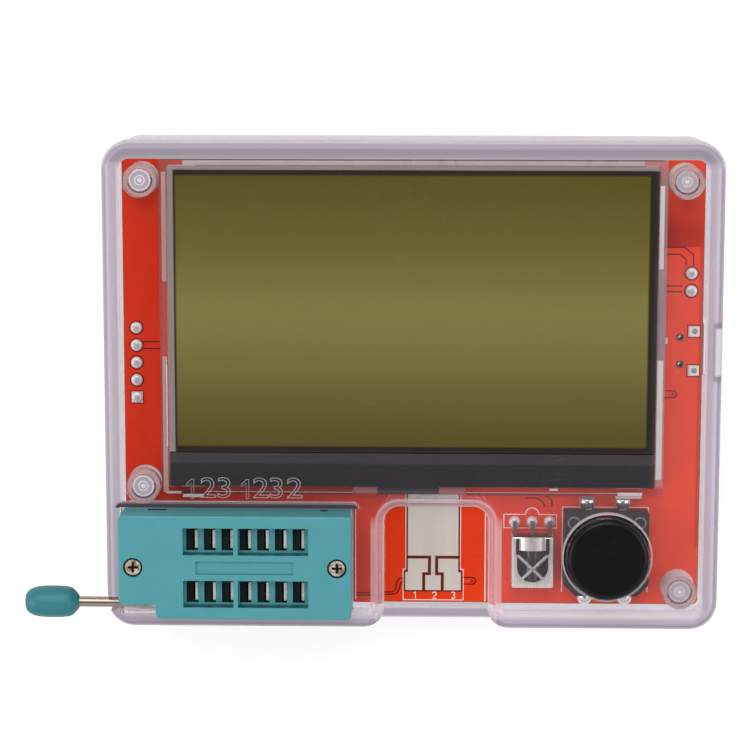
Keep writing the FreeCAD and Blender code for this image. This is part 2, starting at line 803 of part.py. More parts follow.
def make_rear_shell():
    shell = Piece("rear_shell")
    shell.pad(("0", "board_top"), [(("-rear_x", "rear_x"), ("-rear_y", "rear_y"))])
    shell.fillet("case_corner - rear_inset", upright_near(corners_of("rear_x", "rear_y")))
    shell.fillet("rear_edge_round", level_at(0))
    shell.pocket(("floor_thick", "board_top"),
                 [(("-rear_inner_x", "rear_inner_x"), ("-rear_inner_y", "rear_inner_y"))])
    shell.fillet("case_corner - rear_inset - wall", upright_near(corners_of("rear_inner_x", "rear_inner_y")))
    shell.pad(("floor_thick", "board_bottom"), circles=[(x, y, "boss_radius") for x, y in PEGS])
    shell.pad(("board_bottom", "peg_top"), circles=[(x, y, "peg_radius") for x, y in PEGS])
    rib_x = around("cell_x", "cell_rib_length")
    shell.pad(("floor_thick", "floor_thick + cell_rib_rise"),
              [(rib_x, ("cell_low_y - cell_rib_gap - cell_rib_thick", "cell_low_y - cell_rib_gap")),
               (rib_x, ("cell_high_y + cell_rib_gap", "cell_high_y + cell_rib_gap + cell_rib_thick"))])
    shell.side_cut(("rear_inner_x - wall", "rear_x + wall"), around("usb_y", "usb_width + 2 * usb_cut_gap"),
                   ("usb_low - usb_cut_drop", "board_bottom"))


def make_circuit_board():
    board = Piece("circuit_board")
    board.pad(("board_bottom", "board_top"), [(("-board_x", "board_x"), ("-board_y", "board_y"))])
    board.fillet("board_corner", upright_near(corners_of("board_x", "board_y")))
    holes = [(x, y, "peg_radius + hole_gap") for x, y in PEGS]
    holes += [(x, y, "header_pin / sqrt(2) + hole_gap") for x, y in HEADER_SPOTS]
    holes += [(x, y, "wire_core + hole_gap") for x, y in WIRE_SPOTS]
    holes += [(x, y, "hypot(usb_leg_length; usb_leg_width) / 2 + hole_gap") for x, y in USB_LEGS]
    holes += [(x, y, "usb_peg_radius + hole_gap") for x, y in USB_PEGS]
    holes += [(x, y, "ir_lead_width / sqrt(2) + hole_gap") for x, y in IR_SPOTS]
    holes += [(x, y, "hypot(switch_pin_width; switch_pin_thick) / 2 + hole_gap") for x, y, end in SWITCH_PINS]
    holes += [(x, y, "hypot(tail_pin_width; contact_thick) / 2 + hole_gap") for x, y in CONTACT_TAILS]
    board.pocket(("board_bottom", "board_top"), circles=holes)


def make_test_pads():
    # Three tinned lands for surface-mount parts. The middle one joins the wide land by a stem.
    z = ("board_top", "board_top + pad_thick")
    middle = around("land_x", "middle_land_width")
    stem = around("land_x", "stem_width")
    wide = join([block(("land_left", "land_right"), ("land_low", "bay_top + bay_wall / 2"), z),
                 block(stem, ("land_shoulder - land_gap", "land_low"), z),
                 block(middle, ("land_end", "land_shoulder - land_gap"), z)])
    upper = ("land_shoulder", "land_low - land_gap")
    lower = ("land_end", "land_shoulder")
    left = join([block(("land_left", f"{stem[0]} - land_gap"), upper, z),
                 block(("land_x - land_reach", f"{middle[0]} - land_gap"), lower, z)])
    right = join([block((f"{stem[1]} + land_gap", "land_right"), upper, z),
                  block((f"{middle[1]} + land_gap", "land_x + land_reach"), lower, z)])
    keep(bundle([wide, left, right]), "test_pads")


def make_display():
    glass_x = ("-glass_x", "glass_x")
    backlight = Piece("backlight_guide")
    backlight.pad(("board_top", "rear_glass_low"), [(glass_x, ("glass_bottom", "glass_top"))])
    rear = Piece("display_rear_glass")
    rear.pad(("rear_glass_low", "front_glass_low"), [(glass_x, ("glass_bottom", "glass_top"))])
    front = Piece("display_front_glass")
    front.pad(("front_glass_low", "polariser_low"), [(glass_x, ("ledge_top", "glass_top"))])
    film = Piece("display_polariser")
    film.pad(("polariser_low", "polariser_top"),
             [(("-glass_x + polariser_margin", "glass_x - polariser_margin"),
               ("ledge_top + polariser_margin", "glass_top - polariser_margin"))])
    make_display_frame()
    make_display_ledge()


def make_display_frame():
    # Clear moulded rim round the backlight, open at the bottom where the flexible tail comes out.
    frame = Piece("display_frame")
    frame.pad(("board_top", "board_top + frame_rise"),
              [(("-frame_x", "frame_x"), ("frame_low", "frame_high")),
               (("-glass_x - frame_fit", "glass_x + frame_fit"),
                ("glass_bottom - frame_fit", "glass_top + frame_fit"))])
    frame.side_cut(("tail_left - frame_fit", "tail_right + frame_fit"),
                   ("frame_low - frame_rim", "glass_bottom"),
                   ("board_top - frame_fit", "board_top + frame_rise + frame_fit"))


def make_display_ledge():
    ledge = "front_glass_low"
    chip_y = around("(glass_bottom + tail_grip + ledge_top) / 2", "chip_depth")
    chip = keep(block(around("0", "chip_length"), chip_y, (ledge, f"{ledge} + chip_rise")), "driver_chip")
    tail_x = ("tail_left", "tail_right")
    outer = "glass_bottom - tail_drop"
    tail = join([block(tail_x, (outer, "glass_bottom + tail_grip"), (ledge, f"{ledge} + tail_thick")),
                 block(tail_x, (outer, f"{outer} + tail_thick"), ("board_top", f"{ledge} + tail_thick")),
                 block(tail_x, (f"{outer} - tail_foot", f"{outer} + tail_thick"),
                       ("board_top", "board_top + tail_thick"))])
    keep(tail, "display_tail")
    strip = block(("-glass_x", "glass_x"), ("glass_bottom", "ledge_top - frame_fit"),
                  (ledge, f"{ledge} + tape_thick"))
    keep(cut(strip, [chip, tail]), "ledge_tape")


def zif_plan(piece, z):
    # Socket outline with the corner notch that the lever lies in.
    piece.pad(z, [(("zif_left", "zif_right"), ("zif_low", "zif_high"))])
    piece.pocket(z, [(("zif_left - wall", "notch_right"), ("zif_low - wall", "notch_high"))])
    left, right, low, high = (number(name) for name in ("zif_left", "zif_right", "zif_low", "zif_high"))
    corners = [(left, high), (right, high), (right, low), (left, number("notch_high")),
               (number("notch_right"), low)]
    piece.fillet("zif_corner", upright_near(corners))


def make_zif_base():
    base = Piece("socket_base")
    zif_plan(base, ("zif_foot", "zif_joint"))
    well = ("zif_well", "zif_joint")
    base.pocket(well, [(("well_left", "slider_right + slider_fit"),
                        ("slider_low - slider_fit", "slider_high + slider_fit"))])
    base.pocket(well, [(("arm_well_left", "well_left"),
                        ("arm_low - cam_overhang - slider_fit", "arm_high + cam_overhang + slider_fit"))])
    reach = "(rod_radius + rod_fit)"
    base.pocket((f"lever_z - {reach}", "zif_joint"),
                [((f"lever_x - {reach}", f"lever_x + {reach}"),
                  ("notch_high - rod_fit", "axle_end + rod_fit"))])
    base.pocket(("zif_foot", "zif_joint"),
                circles=[(x, "zif_y", "cover_screw_radius + cover_screw_fit")
                         for x in ("cover_screw_left", "cover_screw_right")])
    base.pocket(("zif_foot", "zif_well"),
                [(around(x, "contact_thick + 2 * cam_margin"), around(y, "contact_width + 2 * cam_margin"))
                 for x, y in CONTACT_TAILS])
    stand = ("board_top", "zif_foot")
    base.pad(stand, [(around(x, "zif_foot_length"), around("zif_y", "slot_length"))
                     for x in ("zif_left + zif_foot_inset", "zif_right - zif_foot_inset")])


def make_zif_cover():
    cover = Piece("socket_cover")
    zif_plan(cover, ("zif_joint", "zif_top"))
    cover.fillet("zif_edge_round", level_at(number("zif_top")))
    trough_ends = ("slot_first - trough_margin", "slot_last + slot_width + 2 * trough_margin")
    web = f"slot_first + {SLOTS_BEFORE_DIVIDER} * pitch - (pitch - slot_width) / 2"
    halves = [(trough_ends[0], f"{web} - divider_width / 2"), (f"{web} + divider_width / 2", trough_ends[1])]
    cover.pocket(("trough_floor", "zif_top"),
                 [(half, around(row, "trough_width")) for row in ("row_high", "row_low") for half in halves])
    cover.pocket(("trough_under", "trough_floor"),
                 [((left, f"{left} + slot_width"), around(row, "slot_length")) for left, row in SLOTS])
    middle = "(slot_first + slot_last + slot_width) / 2"
    cover.pocket(("zif_top - label_depth", "zif_top"),
                 [(around(middle, "label_length"), around("zif_y", "label_width"))])
    cover.pocket(("zif_joint", "trough_under"), [(("well_left", "slider_right + slider_fit"),
                                                  ("slider_low - slider_fit", "slider_high + slider_fit"))])
    screws = ("cover_screw_left", "cover_screw_right")
    cover.pocket(("screw_seat", "zif_top"), circles=[(x, "zif_y", "screw_recess_radius") for x in screws])
    cover.pocket(("zif_joint", "screw_seat"),
                 circles=[(x, "zif_y", "cover_screw_radius + cover_screw_fit") for x in screws])


def make_zif_slider():
    # Comb that frees all leads at once. Its arm straddles the lever's cam like a fork.
    slider = Piece("socket_slider")
    slider.pad(("slider_base", "slider_top"),
               [(("slider_left", "slider_right"), ("slider_low", "slider_high"))])
    slider.pad(("slider_base", "arm_top"), [(("arm_left", "slider_left"), ("arm_low", "arm_high"))])
    slider.pocket(("slider_base", "fork_top"),
                  [(("fork_left", "fork_right"), ("arm_low - cam_overhang", "arm_high + cam_overhang"))])
    slider.pocket(("slider_base", "slider_top"),
                  [((f"{left} + window_left", f"{left} + window_right"),
                    around(row, "slot_length + cam_overhang")) for left, row in SLOTS])


def make_zif_contacts():
    strips = []
    for x, y in CONTACT_TAILS:
        blade = block(around(x, "contact_thick"), around(y, "contact_width"), ("zif_foot", "trough_floor"))
        tail = block(around(x, "contact_thick"), around(y, "tail_pin_width"), ("board_bottom", "zif_foot"))
        strips.append(join([blade, tail]))
    keep(bundle(strips), "socket_contacts")
    return strips


def make_zif_lever():
    bend_centre = ("lever_x - rod_bend", "lever_y + rod_bend", "lever_z")
    axle = drum("Y", ("lever_x", "lever_z"), ("lever_y + rod_bend", "axle_end"), "rod_radius")
    turn = FreeCAD.Rotation(FreeCAD.Vector(0, 0, 1), -90)
    corner = quarter_bend(bend_centre, "rod_bend", "rod_radius", turn)
    grip_end = "knob_mouth - knob_grip"
    arm = drum("X", ("lever_y", "lever_z"), (grip_end, "lever_x - rod_bend"), "rod_radius")
    cam = drum("Y", ("cam_x", "cam_z"), ("arm_low - cam_overhang", "arm_high + cam_overhang"), "cam_radius")
    keep(join([axle, corner, arm, cam]), "socket_lever")
    handle = drum("X", ("lever_y", "lever_z"), ("knob_tip", "knob_mouth"), "knob_radius")
    handle = softened(handle, number("knob_round"), lambda edge: edge.Curve.TypeId == "Part::GeomCircle")
    bore = drum("X", ("lever_y", "lever_z"), (grip_end, "knob_mouth + wall"), "rod_radius")
    keep(cut(handle, [bore]), "lever_knob")


def make_zif_screws():
    screws = []
    for x in ("cover_screw_left", "cover_screw_right"):
        at = (x, "zif_y")
        head = drum("Z", at, ("screw_seat", "screw_seat + screw_head_rise"), "screw_head_radius")
        shank = drum("Z", at, ("screw_seat - screw_length", "screw_seat"), "cover_screw_radius")
        z = ("screw_seat + screw_head_rise - cross_depth", "screw_seat + screw_head_rise + cross_depth")
        cross = [block(around(x, "cross_length"), around("zif_y", "cross_width"), z),
                 block(around(x, "cross_width"), around("zif_y", "cross_length"), z)]
        screws.append(cut(join([head, shank]), [join(cross)]))
    keep(bundle(screws), "socket_screws")


def square_plan(piece, z):
    # Square switch outline with its two lower corners cut off.
    piece.pad(z, [(around("button_x", "switch_width"), around("button_y", "switch_width"))])
    low = number("button_y") - number("switch_half")
    sides = [number("button_x") + side * number("switch_half") for side in (-1, 1)]
    piece.chamfer("switch_chamfer", upright_near([(x, low) for x in sides]))


def make_switch():
    housing = Piece("switch_housing")
    square_plan(housing, ("board_top", "housing_top"))
    housing.pocket(("well_base", "housing_top"), circles=[("button_x", "button_y", "well_radius")])
    plate = Piece("switch_plate")
    square_plan(plate, ("housing_top", "plate_top"))
    plate.pocket(("housing_top", "plate_top"),
                 circles=[("button_x", "button_y", "stem_radius + plate_hole_gap")])
    plate.pad(("plate_top", "plate_top + rivet_rise"), circles=[(x, y, "rivet_radius") for x, y in RIVETS])
    at = ("button_x", "button_y")
    shape = bead(*at, "well_base", "dome_radius", "dome_rise + dome_thick")
    hollow = bead(*at, "well_base", "dome_radius - dome_thick", "dome_rise")
    keep(cut(shape, [hollow]), "switch_dome")
    flange = drum("Z", at, ("plunger_low", "flange_top"), "flange_radius")
    stem = drum("Z", at, ("flange_top", "stem_top"), "stem_radius")
    keep(join([flange, stem]), "switch_plunger")
    make_button_cap(at)


def make_button_cap(at):
    cap = drum("Z", at, ("cap_low", "cap_top"), "cap_radius")
    cap = softened(cap, number("cap_round"), level_at(number("cap_top")))
    groove = cut(drum("Z", at, ("cap_low", "cap_top - cap_roof"), "cap_radius - cap_rim"),
                 [drum("Z", at, ("cap_low", "cap_top - cap_roof"), "stem_radius + cap_boss")])
    bore = drum("Z", at, ("cap_low", "stem_top"), "stem_radius + stem_fit")
    keep(cut(cap, [groove, bore]), "button_cap")


def make_switch_pins():
    pins = []
    for x, y, end in SWITCH_PINS:
        edge = f"button_y + {end} * switch_half"
        shelf = (edge, f"{y} + switch_pin_thick / 2") if end > 0 else (f"{y} - switch_pin_thick / 2", edge)
        across = around(x, "switch_pin_width")
        top = "board_top + switch_pin_rise"
        pins.append(join([block(across, shelf, (f"{top} - switch_pin_thick", top)),
                          block(across, around(y, "switch_pin_thick"), ("board_bottom", top))]))
    keep(bundle(pins), "switch_pins")
    return pins


def make_ir_receiver():
    # The dark body and its lens sit inside a folded shield with a crossed window.
    skin = "ir_metal + cam_margin"
    inside = [(f"ir_left + {skin}", f"ir_right - ({skin})"), (f"ir_low + {skin}", f"ir_high - ({skin})")]
    lens_low = "ir_top - ir_lens_radius"
    body = block(*inside, ("board_top + cam_margin", lens_low))
    lens = drum("Y", ("ir_x", lens_low), ("ir_window_base", "ir_window_base + ir_window_length"),
                "ir_lens_radius - ir_metal - ir_lens_gap")
    keep(join([body, lens]), "ir_body")
    case = block(("ir_left", "ir_right"), ("ir_low", "ir_high"), ("board_top", "ir_top"))
    room = block(("ir_left + ir_metal", "ir_right - ir_metal"), ("ir_low + ir_metal", "ir_high + ir_metal"),
                 ("board_top - ir_metal", "ir_top - ir_metal"))
    through_roof = ("ir_top - 2 * ir_metal", "ir_top + ir_metal")
    window = block(around("ir_x", "ir_window_width"),
                   ("ir_window_mid", "ir_window_base + ir_window_length"), through_roof)
    arch = drum("Z", ("ir_x", "ir_window_mid"), through_roof, "ir_window_width / 2")
    hood_y = ("ir_high - ir_hood_inset - ir_hood_length", "ir_high - ir_hood_inset")
    hood = block(around("ir_x", "ir_hood_width"), hood_y, ("ir_top", "hood_top"))
    hood = softened(hood, number("ir_hood_round"), level_at(number("hood_top")))
    bars = [crossing_bar(angle) for angle in (45, -45)]
    keep(join([cut(case, [room, window, arch]), hood] + bars), "ir_shield")
    return make_ir_leads()


def crossing_bar(angle):
    item = doc.addObject("Part::Box", "bar")
    turn = FreeCAD.Rotation(FreeCAD.Vector(0, 0, 1), angle)
    item.Placement.Rotation = turn
    length = "(ir_window_width + 2 * ir_metal + ir_bar)"
    lean = 1 if angle > 0 else -1
    bind(item, {"Length": length, "Width": "ir_bar", "Height": "ir_metal",
                "Placement.Base.x": f"ir_x - ({length} - {lean} * ir_bar) / 2 / sqrt(2)",
                "Placement.Base.y": f"ir_window_mid - ({lean} * {length} + ir_bar) / 2 / sqrt(2)",
                "Placement.Base.z": "ir_top - ir_metal"})
    return item


def make_ir_leads():
    leads = []
    skin = "ir_high - ir_metal - cam_margin"
    for x, y in IR_SPOTS:
        across = around(x, "ir_lead_width")
        top = "board_top + ir_lead_rise"
        shelf = block(across, (skin, f"{y} + ir_lead_width / 2"), (f"{top} - ir_lead_width", top))
        leads.append(join([shelf, block(across, around(y, "ir_lead_width"), ("board_bottom", top))]))
    keep(bundle(leads), "ir_leads")
    return leads


def make_usb_socket():
    y = around("usb_y", "usb_width")
    z = ("usb_low", "board_bottom")
    inner_y = around("usb_y", "usb_width - 2 * usb_metal")
    inner_z = ("usb_low + usb_metal", "board_bottom - usb_metal")
    shell = cut(block(("usb_rear", "usb_mouth"), y, z),
                [block(("usb_rear - usb_metal", "usb_mouth + usb_metal"), inner_y, inner_z)]
                + [drum("Z", at, z, "usb_peg_radius + hole_gap") for at in USB_PEGS])
    legs = [block(around(x, "usb_leg_length"), around(y, "usb_leg_width"),
                  ("board_bottom - usb_metal", "board_top")) for x, y in USB_LEGS]
    keep(join([shell] + legs), "usb_shell")
    back = block(("usb_rear", "usb_rear + usb_back"), inner_y, inner_z)
    mid = "(usb_low + board_bottom) / 2"
    tongue = block(("usb_rear", "usb_mouth - usb_tongue_setback"), around("usb_y", "usb_tongue_width"),
                   around(mid, "usb_tongue_thick"))
    peg_ends = (f"{mid} - usb_tongue_thick / 2", "board_top - usb_peg_short")
    pegs = [drum("Z", at, peg_ends, "usb_peg_radius") for at in USB_PEGS]
    keep(join([back, tongue] + pegs), "usb_insert")


def make_cell():
    cell = block(("cell_left", "cell_right"), ("cell_low_y", "cell_high_y"), ("cell_base", "cell_top"))
    keep(softened(cell, number("cell_round"), lambda edge: abs(edge.tangentAt(0).x) > 0.999), "battery_cell")
    inset = "cell_pad_inset"
    pad = block((f"cell_left + {inset}", f"cell_right - {inset}"),
                (f"cell_low_y + {inset}", f"cell_high_y - {inset}"), ("floor_thick", "cell_base"))
    keep(pad, "battery_pad")
    board = block(("cell_right", "cell_board_end"),
                  ("cell_low_y + cell_board_inset", "cell_high_y - cell_board_inset"),
                  around("wire_level", "cell_board_thick"))
    keep(board, "battery_board")
    for label, (x, y) in zip(("battery_lead_positive", "battery_lead_negative"), WIRE_SPOTS):
        keep(make_wire(x, y), label)


def make_wire(x, y):
    # Out of the protection board, one wide bend, then straight up into its hole.
    run = drum("X", (y, "wire_level"), ("cell_board_end", f"{x} - wire_bend"), "wire_radius")
    corner = quarter_bend((f"{x} - wire_bend", y, "wire_level + wire_bend"), "wire_bend", "wire_radius",
                          FreeCAD.Rotation(FreeCAD.Vector(1, 0, 0), 90)
                          * FreeCAD.Rotation(FreeCAD.Vector(0, 0, 1), -90))
    rise = drum("Z", (x, y), ("wire_level + wire_bend", "board_bottom"), "wire_radius")
    core = drum("Z", (x, y), ("board_bottom - wire_radius", "board_top"), "wire_core")
    return join([run, corner, rise, core])


def make_header():
    strip = block(around("header_x", "header_width"),
                  ("header_low_y - pitch / 2", "header_high_y + pitch / 2"), ("header_base", "board_bottom"))
    pins = [block(around(x, "header_pin"), around(y, "header_pin"),
                  ("floor_thick + header_floor_gap", "board_top")) for x, y in HEADER_SPOTS]
    keep(cut(strip, [bundle(pins)]), "header_strip")
    keep(bundle(pins), "header_pins")


def gull_lead(x, y, width, reach, top, outward):
    # Flat lead that leaves a chip's side and steps down to the board's underside.
    lean = "xy".index(outward[0])
    sign = outward[1]
    half = f"{reach} / 2"
    ends = [(x, x), (y, y)]
    near, far = (f"{(x, y)[lean]}", f"{(x, y)[lean]} + {sign} * ({reach})")
    knee = f"{(x, y)[lean]} + {sign} * {half}"
    side = 1 - lean
    ends[side] = around((x, y)[side], width)
    shelf, riser, foot = list(ends), list(ends), list(ends)
    shelf[lean] = (near, knee) if sign > 0 else (knee, near)
    riser[lean] = around(knee, "lead_thick")
    foot[lean] = (knee, far) if sign > 0 else (far, knee)
    return join([block(*shelf, (f"{top} - lead_thick", top)),
                 block(*riser, (f"{top} - lead_thick", "board_bottom")),
                 block(*foot, ("board_bottom - lead_thick", "board_bottom"))])


def make_controller():
    chip_z = ("board_bottom - mcu_lift - mcu_rise", "board_bottom - mcu_lift")
    keep(block(around("mcu_x", "mcu_width"), around("mcu_y", "mcu_width"), chip_z), "controller_chip")
    leads = []
    for step in range(MCU_LEADS_PER_SIDE):
        shift = f"{step - (MCU_LEADS_PER_SIDE - 1) / 2} * mcu_pitch"
        for sign in (-1, 1):
            rim = f"{sign} * mcu_width / 2"
            size = ("mcu_lead_width", "mcu_lead_reach", "board_bottom - mcu_lift - mcu_rise / 2")
            leads.append(gull_lead(f"mcu_x + {rim}", f"mcu_y + {shift}", *size, ("x", sign)))
            leads.append(gull_lead(f"mcu_x + {shift}", f"mcu_y + {rim}", *size, ("y", sign)))
    keep(bundle(leads), "controller_leads")


def make_charger():
    chip_z = ("board_bottom - mcu_lift - charger_rise", "board_bottom - mcu_lift")
    keep(block(around("charger_x", "charger_length"), around("charger_y", "charger_width"), chip_z),
         "charger_chip")
    leads = []
    for step in range(CHARGER_LEADS_PER_SIDE):
        shift = f"{step - (CHARGER_LEADS_PER_SIDE - 1) / 2} * charger_pitch"
        for sign in (-1, 1):
            leads.append(gull_lead(f"charger_x + {shift}", f"charger_y + {sign} * charger_width / 2",
                                   "charger_lead_width", "charger_lead_reach",
                                   "board_bottom - mcu_lift - charger_rise / 2", ("y", sign)))
    keep(bundle(leads), "charger_leads")


def make_crystal():
    can = block(around("mcu_x", "crystal_length"), around("crystal_y", "crystal_width"),
                ("board_bottom - crystal_rise", "board_bottom"))
    keep(softened(can, number("crystal_round"), is_upright), "crystal_can")


def make_coil():
    at = ("coil_x", "coil_y")
    low = "board_bottom - coil_rise"
    core = join([drum("Z", at, (low, f"{low} + coil_flange"), "coil_radius"),
                 drum("Z", at, (low, "board_bottom"), "coil_core_radius"),
                 drum("Z", at, ("board_bottom - coil_flange", "board_bottom"), "coil_radius")])
    keep(core, "coil_core")
    winding = (f"{low} + coil_flange + coil_fit", "board_bottom - coil_flange - coil_fit")
    keep(cut(drum("Z", at, winding, "coil_radius - coil_fit"),
             [drum("Z", at, winding, "coil_core_radius + coil_fit")]), "coil_winding")


def chip_part(x, y, rise):
    # Body of a two-ended part that lies along X, with a tinned end at each side.
    z = (f"board_bottom - {rise}", "board_bottom")
    across = around(y, "chip_part_width")
    left, right = around(x, "chip_part_length")
    body = block((f"{left} + chip_end", f"{right} - chip_end"), across, z)
    ends = [block((left, f"{left} + chip_end"), across, z), block((f"{right} - chip_end", right), across, z)]
    return body, ends


def make_small_parts():
    resistors = [chip_part(x, y, "resistor_rise") for x, y in RESISTOR_SPOTS]
    capacitors = [chip_part(x, y, "capacitor_rise") for x, y in CAPACITOR_SPOTS]
    keep(bundle([body for body, ends in resistors]), "chip_resistors")
    keep(bundle([body for body, ends in capacitors]), "chip_capacitors")
    keep(bundle([end for body, ends in resistors + capacitors for end in ends]), "chip_ends")
    bodies, leads = [], []
    chip_z = ("board_bottom - mcu_lift - sot_rise", "board_bottom - mcu_lift")
    for x, y in TRANSISTOR_SPOTS:
        bodies.append(block(around(x, "sot_length"), around(y, "sot_width"), chip_z))
        for shift, sign in ((-1, -1), (1, -1), (0, 1)):
            leads.append(gull_lead(f"{x} + {shift} * sot_pitch", f"{y} + {sign} * sot_width / 2",
                                   "sot_lead_width", "sot_lead_reach",
                                   "board_bottom - mcu_lift - sot_rise / 2", ("y", sign)))
    keep(bundle(bodies), "transistors")
    keep(bundle(leads), "transistor_leads")


def make_solder(through_leads):
    # Beads over the lead ends: on the front for what is mounted behind, and the other way round.
    size = ("solder_radius", "solder_rise")
    front = [bead(x, y, "board_top", *size) for x, y in HEADER_SPOTS + WIRE_SPOTS + IR_SPOTS]
    front += [bead(x, y, "board_top", *size) for x, y, end in SWITCH_PINS if end > 0]
    back = [bead(x, y, "board_bottom", *size, upward=False) for x, y in CONTACT_TAILS + IR_SPOTS]
    back += [bead(x, y, "board_bottom", *size, upward=False) for x, y, end in SWITCH_PINS]
    lands = [block(around(x, "usb_land"), around(y, "usb_land"), ("board_top", "board_top + usb_land_thick"))
             for x, y in USB_LEGS]
    keep(cut(bundle(front + back + lands), [bundle(through_leads)]), "solder_joints")


make_front_shell()
make_rear_shell()
make_circuit_board()
make_test_pads()
make_display()
make_zif_base()
make_zif_cover()
make_zif_slider()
make_zif_contacts()
make_zif_lever()
make_zif_screws()
make_switch()
switch_leads = make_switch_pins()
receiver_leads = make_ir_receiver()
make_usb_socket()
make_cell()
make_header()
make_controller()
make_charger()
make_crystal()
make_coil()
make_small_parts()
make_solder(switch_leads + receiver_leads)
doc.recompute()

faults = [f"{item.Name} {item.State}" for item in doc.Objects if {"Invalid", "Error"} & set(item.State)]
faults += [item.Label for item in nodes if item.Shape.isNull() or not item.Shape.isValid()]
if faults:
    raise RuntimeError("failed objects: " + ", ".join(faults))

os.makedirs("parts", exist_ok=True)
for item in nodes:
    item.Shape.exportStep(f"parts/{item.Label}.step")
    print(f"{item.Label}: {len(item.Shape.Solids)} solids, {item.Shape.Volume:.2f} mm3")
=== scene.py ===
import math

import bmesh
import bpy
from mathutils import Euler, Matrix, Vector


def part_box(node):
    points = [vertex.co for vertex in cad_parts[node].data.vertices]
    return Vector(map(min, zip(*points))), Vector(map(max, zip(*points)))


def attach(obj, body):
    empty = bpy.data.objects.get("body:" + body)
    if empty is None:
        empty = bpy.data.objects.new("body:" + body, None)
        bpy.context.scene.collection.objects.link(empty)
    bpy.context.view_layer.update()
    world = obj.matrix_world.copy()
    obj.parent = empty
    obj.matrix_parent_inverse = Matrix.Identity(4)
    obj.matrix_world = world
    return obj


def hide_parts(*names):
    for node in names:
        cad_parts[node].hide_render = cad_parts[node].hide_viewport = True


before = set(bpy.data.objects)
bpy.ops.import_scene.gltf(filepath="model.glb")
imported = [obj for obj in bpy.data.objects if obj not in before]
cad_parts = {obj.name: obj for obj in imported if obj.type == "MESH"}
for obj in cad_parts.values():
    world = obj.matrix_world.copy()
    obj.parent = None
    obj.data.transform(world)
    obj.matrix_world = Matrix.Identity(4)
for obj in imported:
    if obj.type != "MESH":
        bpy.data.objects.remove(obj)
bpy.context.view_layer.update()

mm = 0.001
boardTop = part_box("circuit_board")[1][2]
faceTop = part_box("front_shell")[1][2]
base = boardTop / mm
print("frame loaded:", len(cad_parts), "nodes")


def paint(red, green, blue, alpha=1.0):
    # a colour as it is seen on screen, 0 to 255, made linear for a shader
    shares = [value / 255 for value in (red, green, blue)]
    return tuple([s / 12.92 if s <= 0.04045 else ((s + 0.055) / 1.055) ** 2.4 for s in shares] + [alpha])


def addNode(tree, kind, inputs=None, **settings):
    # gives the new node's outputs
    node = tree.nodes.new("ShaderNode" + kind)
    for name, value in settings.items():
        setattr(node, name, value)
    for name, value in (inputs or {}).items():
        if isinstance(value, bpy.types.NodeSocket):
            tree.links.new(value, node.inputs[name])
        else:
            node.inputs[name].default_value = value
    return node.outputs


def calc(tree, operation, first, second=0.0):
    return addNode(tree, "Math", {0: first, 1: second}, operation=operation)[0]


def multiply(tree, product, *others):
    for other in others:
        product = calc(tree, "MULTIPLY", product, other)
    return product


def restOf(tree, share):
    return calc(tree, "SUBTRACT", 1.0, share)


def scaleRange(tree, value, start, stop, low=0.0, high=1.0):
    return addNode(tree, "MapRange", {"Value": value, "From Min": start, "From Max": stop, "To Min": low,
                                      "To Max": high})[0]


def along(tree, value, ends, low=0.0, high=1.0):
    # goes from low to high along a stretch given in mm
    return scaleRange(tree, value, ends[0] * mm, ends[1] * mm, low, high)


def mixColour(tree, share, first, second):
    return addNode(tree, "Mix", {0: share, 6: first, 7: second}, data_type="RGBA")[2]


def mixPaint(tree, share, first, second):
    return mixColour(tree, share, paint(*first), paint(*second))


def colourRamp(tree, share, stops, interpolation="LINEAR"):
    # stops hold a share and a colour, the first at 0 and the last at 1
    ramp = tree.nodes.new("ShaderNodeValToRGB")
    tree.links.new(share, ramp.inputs[0])
    ramp.color_ramp.interpolation = interpolation
    elements = ramp.color_ramp.elements
    for place, colour in stops[1:-1]:
        elements.new(place).color = colour
    elements[0].color = stops[0][1]
    elements[-1].color = stops[-1][1]
    return ramp.outputs


def objectPlace(tree):
    place = addNode(tree, "TexCoord")["Object"]
    return place, addNode(tree, "SeparateXYZ", {0: place})


def startGroup(name, inputs, outputs):
    tree = bpy.data.node_groups.new(name, "ShaderNodeTree")
    for label, kind, value in inputs:
        socket = tree.interface.new_socket(label, in_out="INPUT", socket_type="NodeSocket" + kind)
        socket.default_value = value
    for label, kind in outputs:
        tree.interface.new_socket(label, in_out="OUTPUT", socket_type="NodeSocket" + kind)
    return tree, tree.nodes.new("NodeGroupInput").outputs, tree.nodes.new("NodeGroupOutput").inputs


def placeGroup(tree, name, inputs):
    return addNode(tree, "Group", inputs, node_tree=bpy.data.node_groups[name])


# surfaceGrain: patches of colour and gloss, drawn out along an axis for brushed metal
surfaceGrain = {"patches": (3.0, 0.55), "specks": (2.0, 0.6), "finer": 7.0, "shares": (0.6, 0.4),
                "swing": 4.0, "gloss": (0.36, 0.64)}
tree, enter, leave = startGroup(
    "surfaceGrain",
    [("Colour", "Color", (0.5, 0.5, 0.5, 1)), ("Shade", "Float", 0.06), ("Scale", "Float", 400.0),
     ("Stretch", "Vector", (1.0, 1.0, 1.0)), ("Rough Low", "Float", 0.3), ("Rough High", "Float", 0.5)],
    [("Colour", "Color"), ("Roughness", "Float"), ("Height", "Float")])
place = addNode(tree, "TexCoord")["Object"]
drawn = addNode(tree, "VectorMath", {0: place, 1: enter["Stretch"]}, operation="MULTIPLY")[0]
finer = multiply(tree, enter["Scale"], surfaceGrain["finer"])
noises = []
for layer, size in (("patches", enter["Scale"]), ("specks", finer)):
    detail, rough = surfaceGrain[layer]
    noises.append(addNode(tree, "TexNoise", {"Vector": drawn, "Scale": size, "Detail": detail,
                                             "Roughness": rough})[0])
weighed = [multiply(tree, noise, share) for noise, share in zip(noises, surfaceGrain["shares"])]
both = calc(tree, "ADD", *weighed)
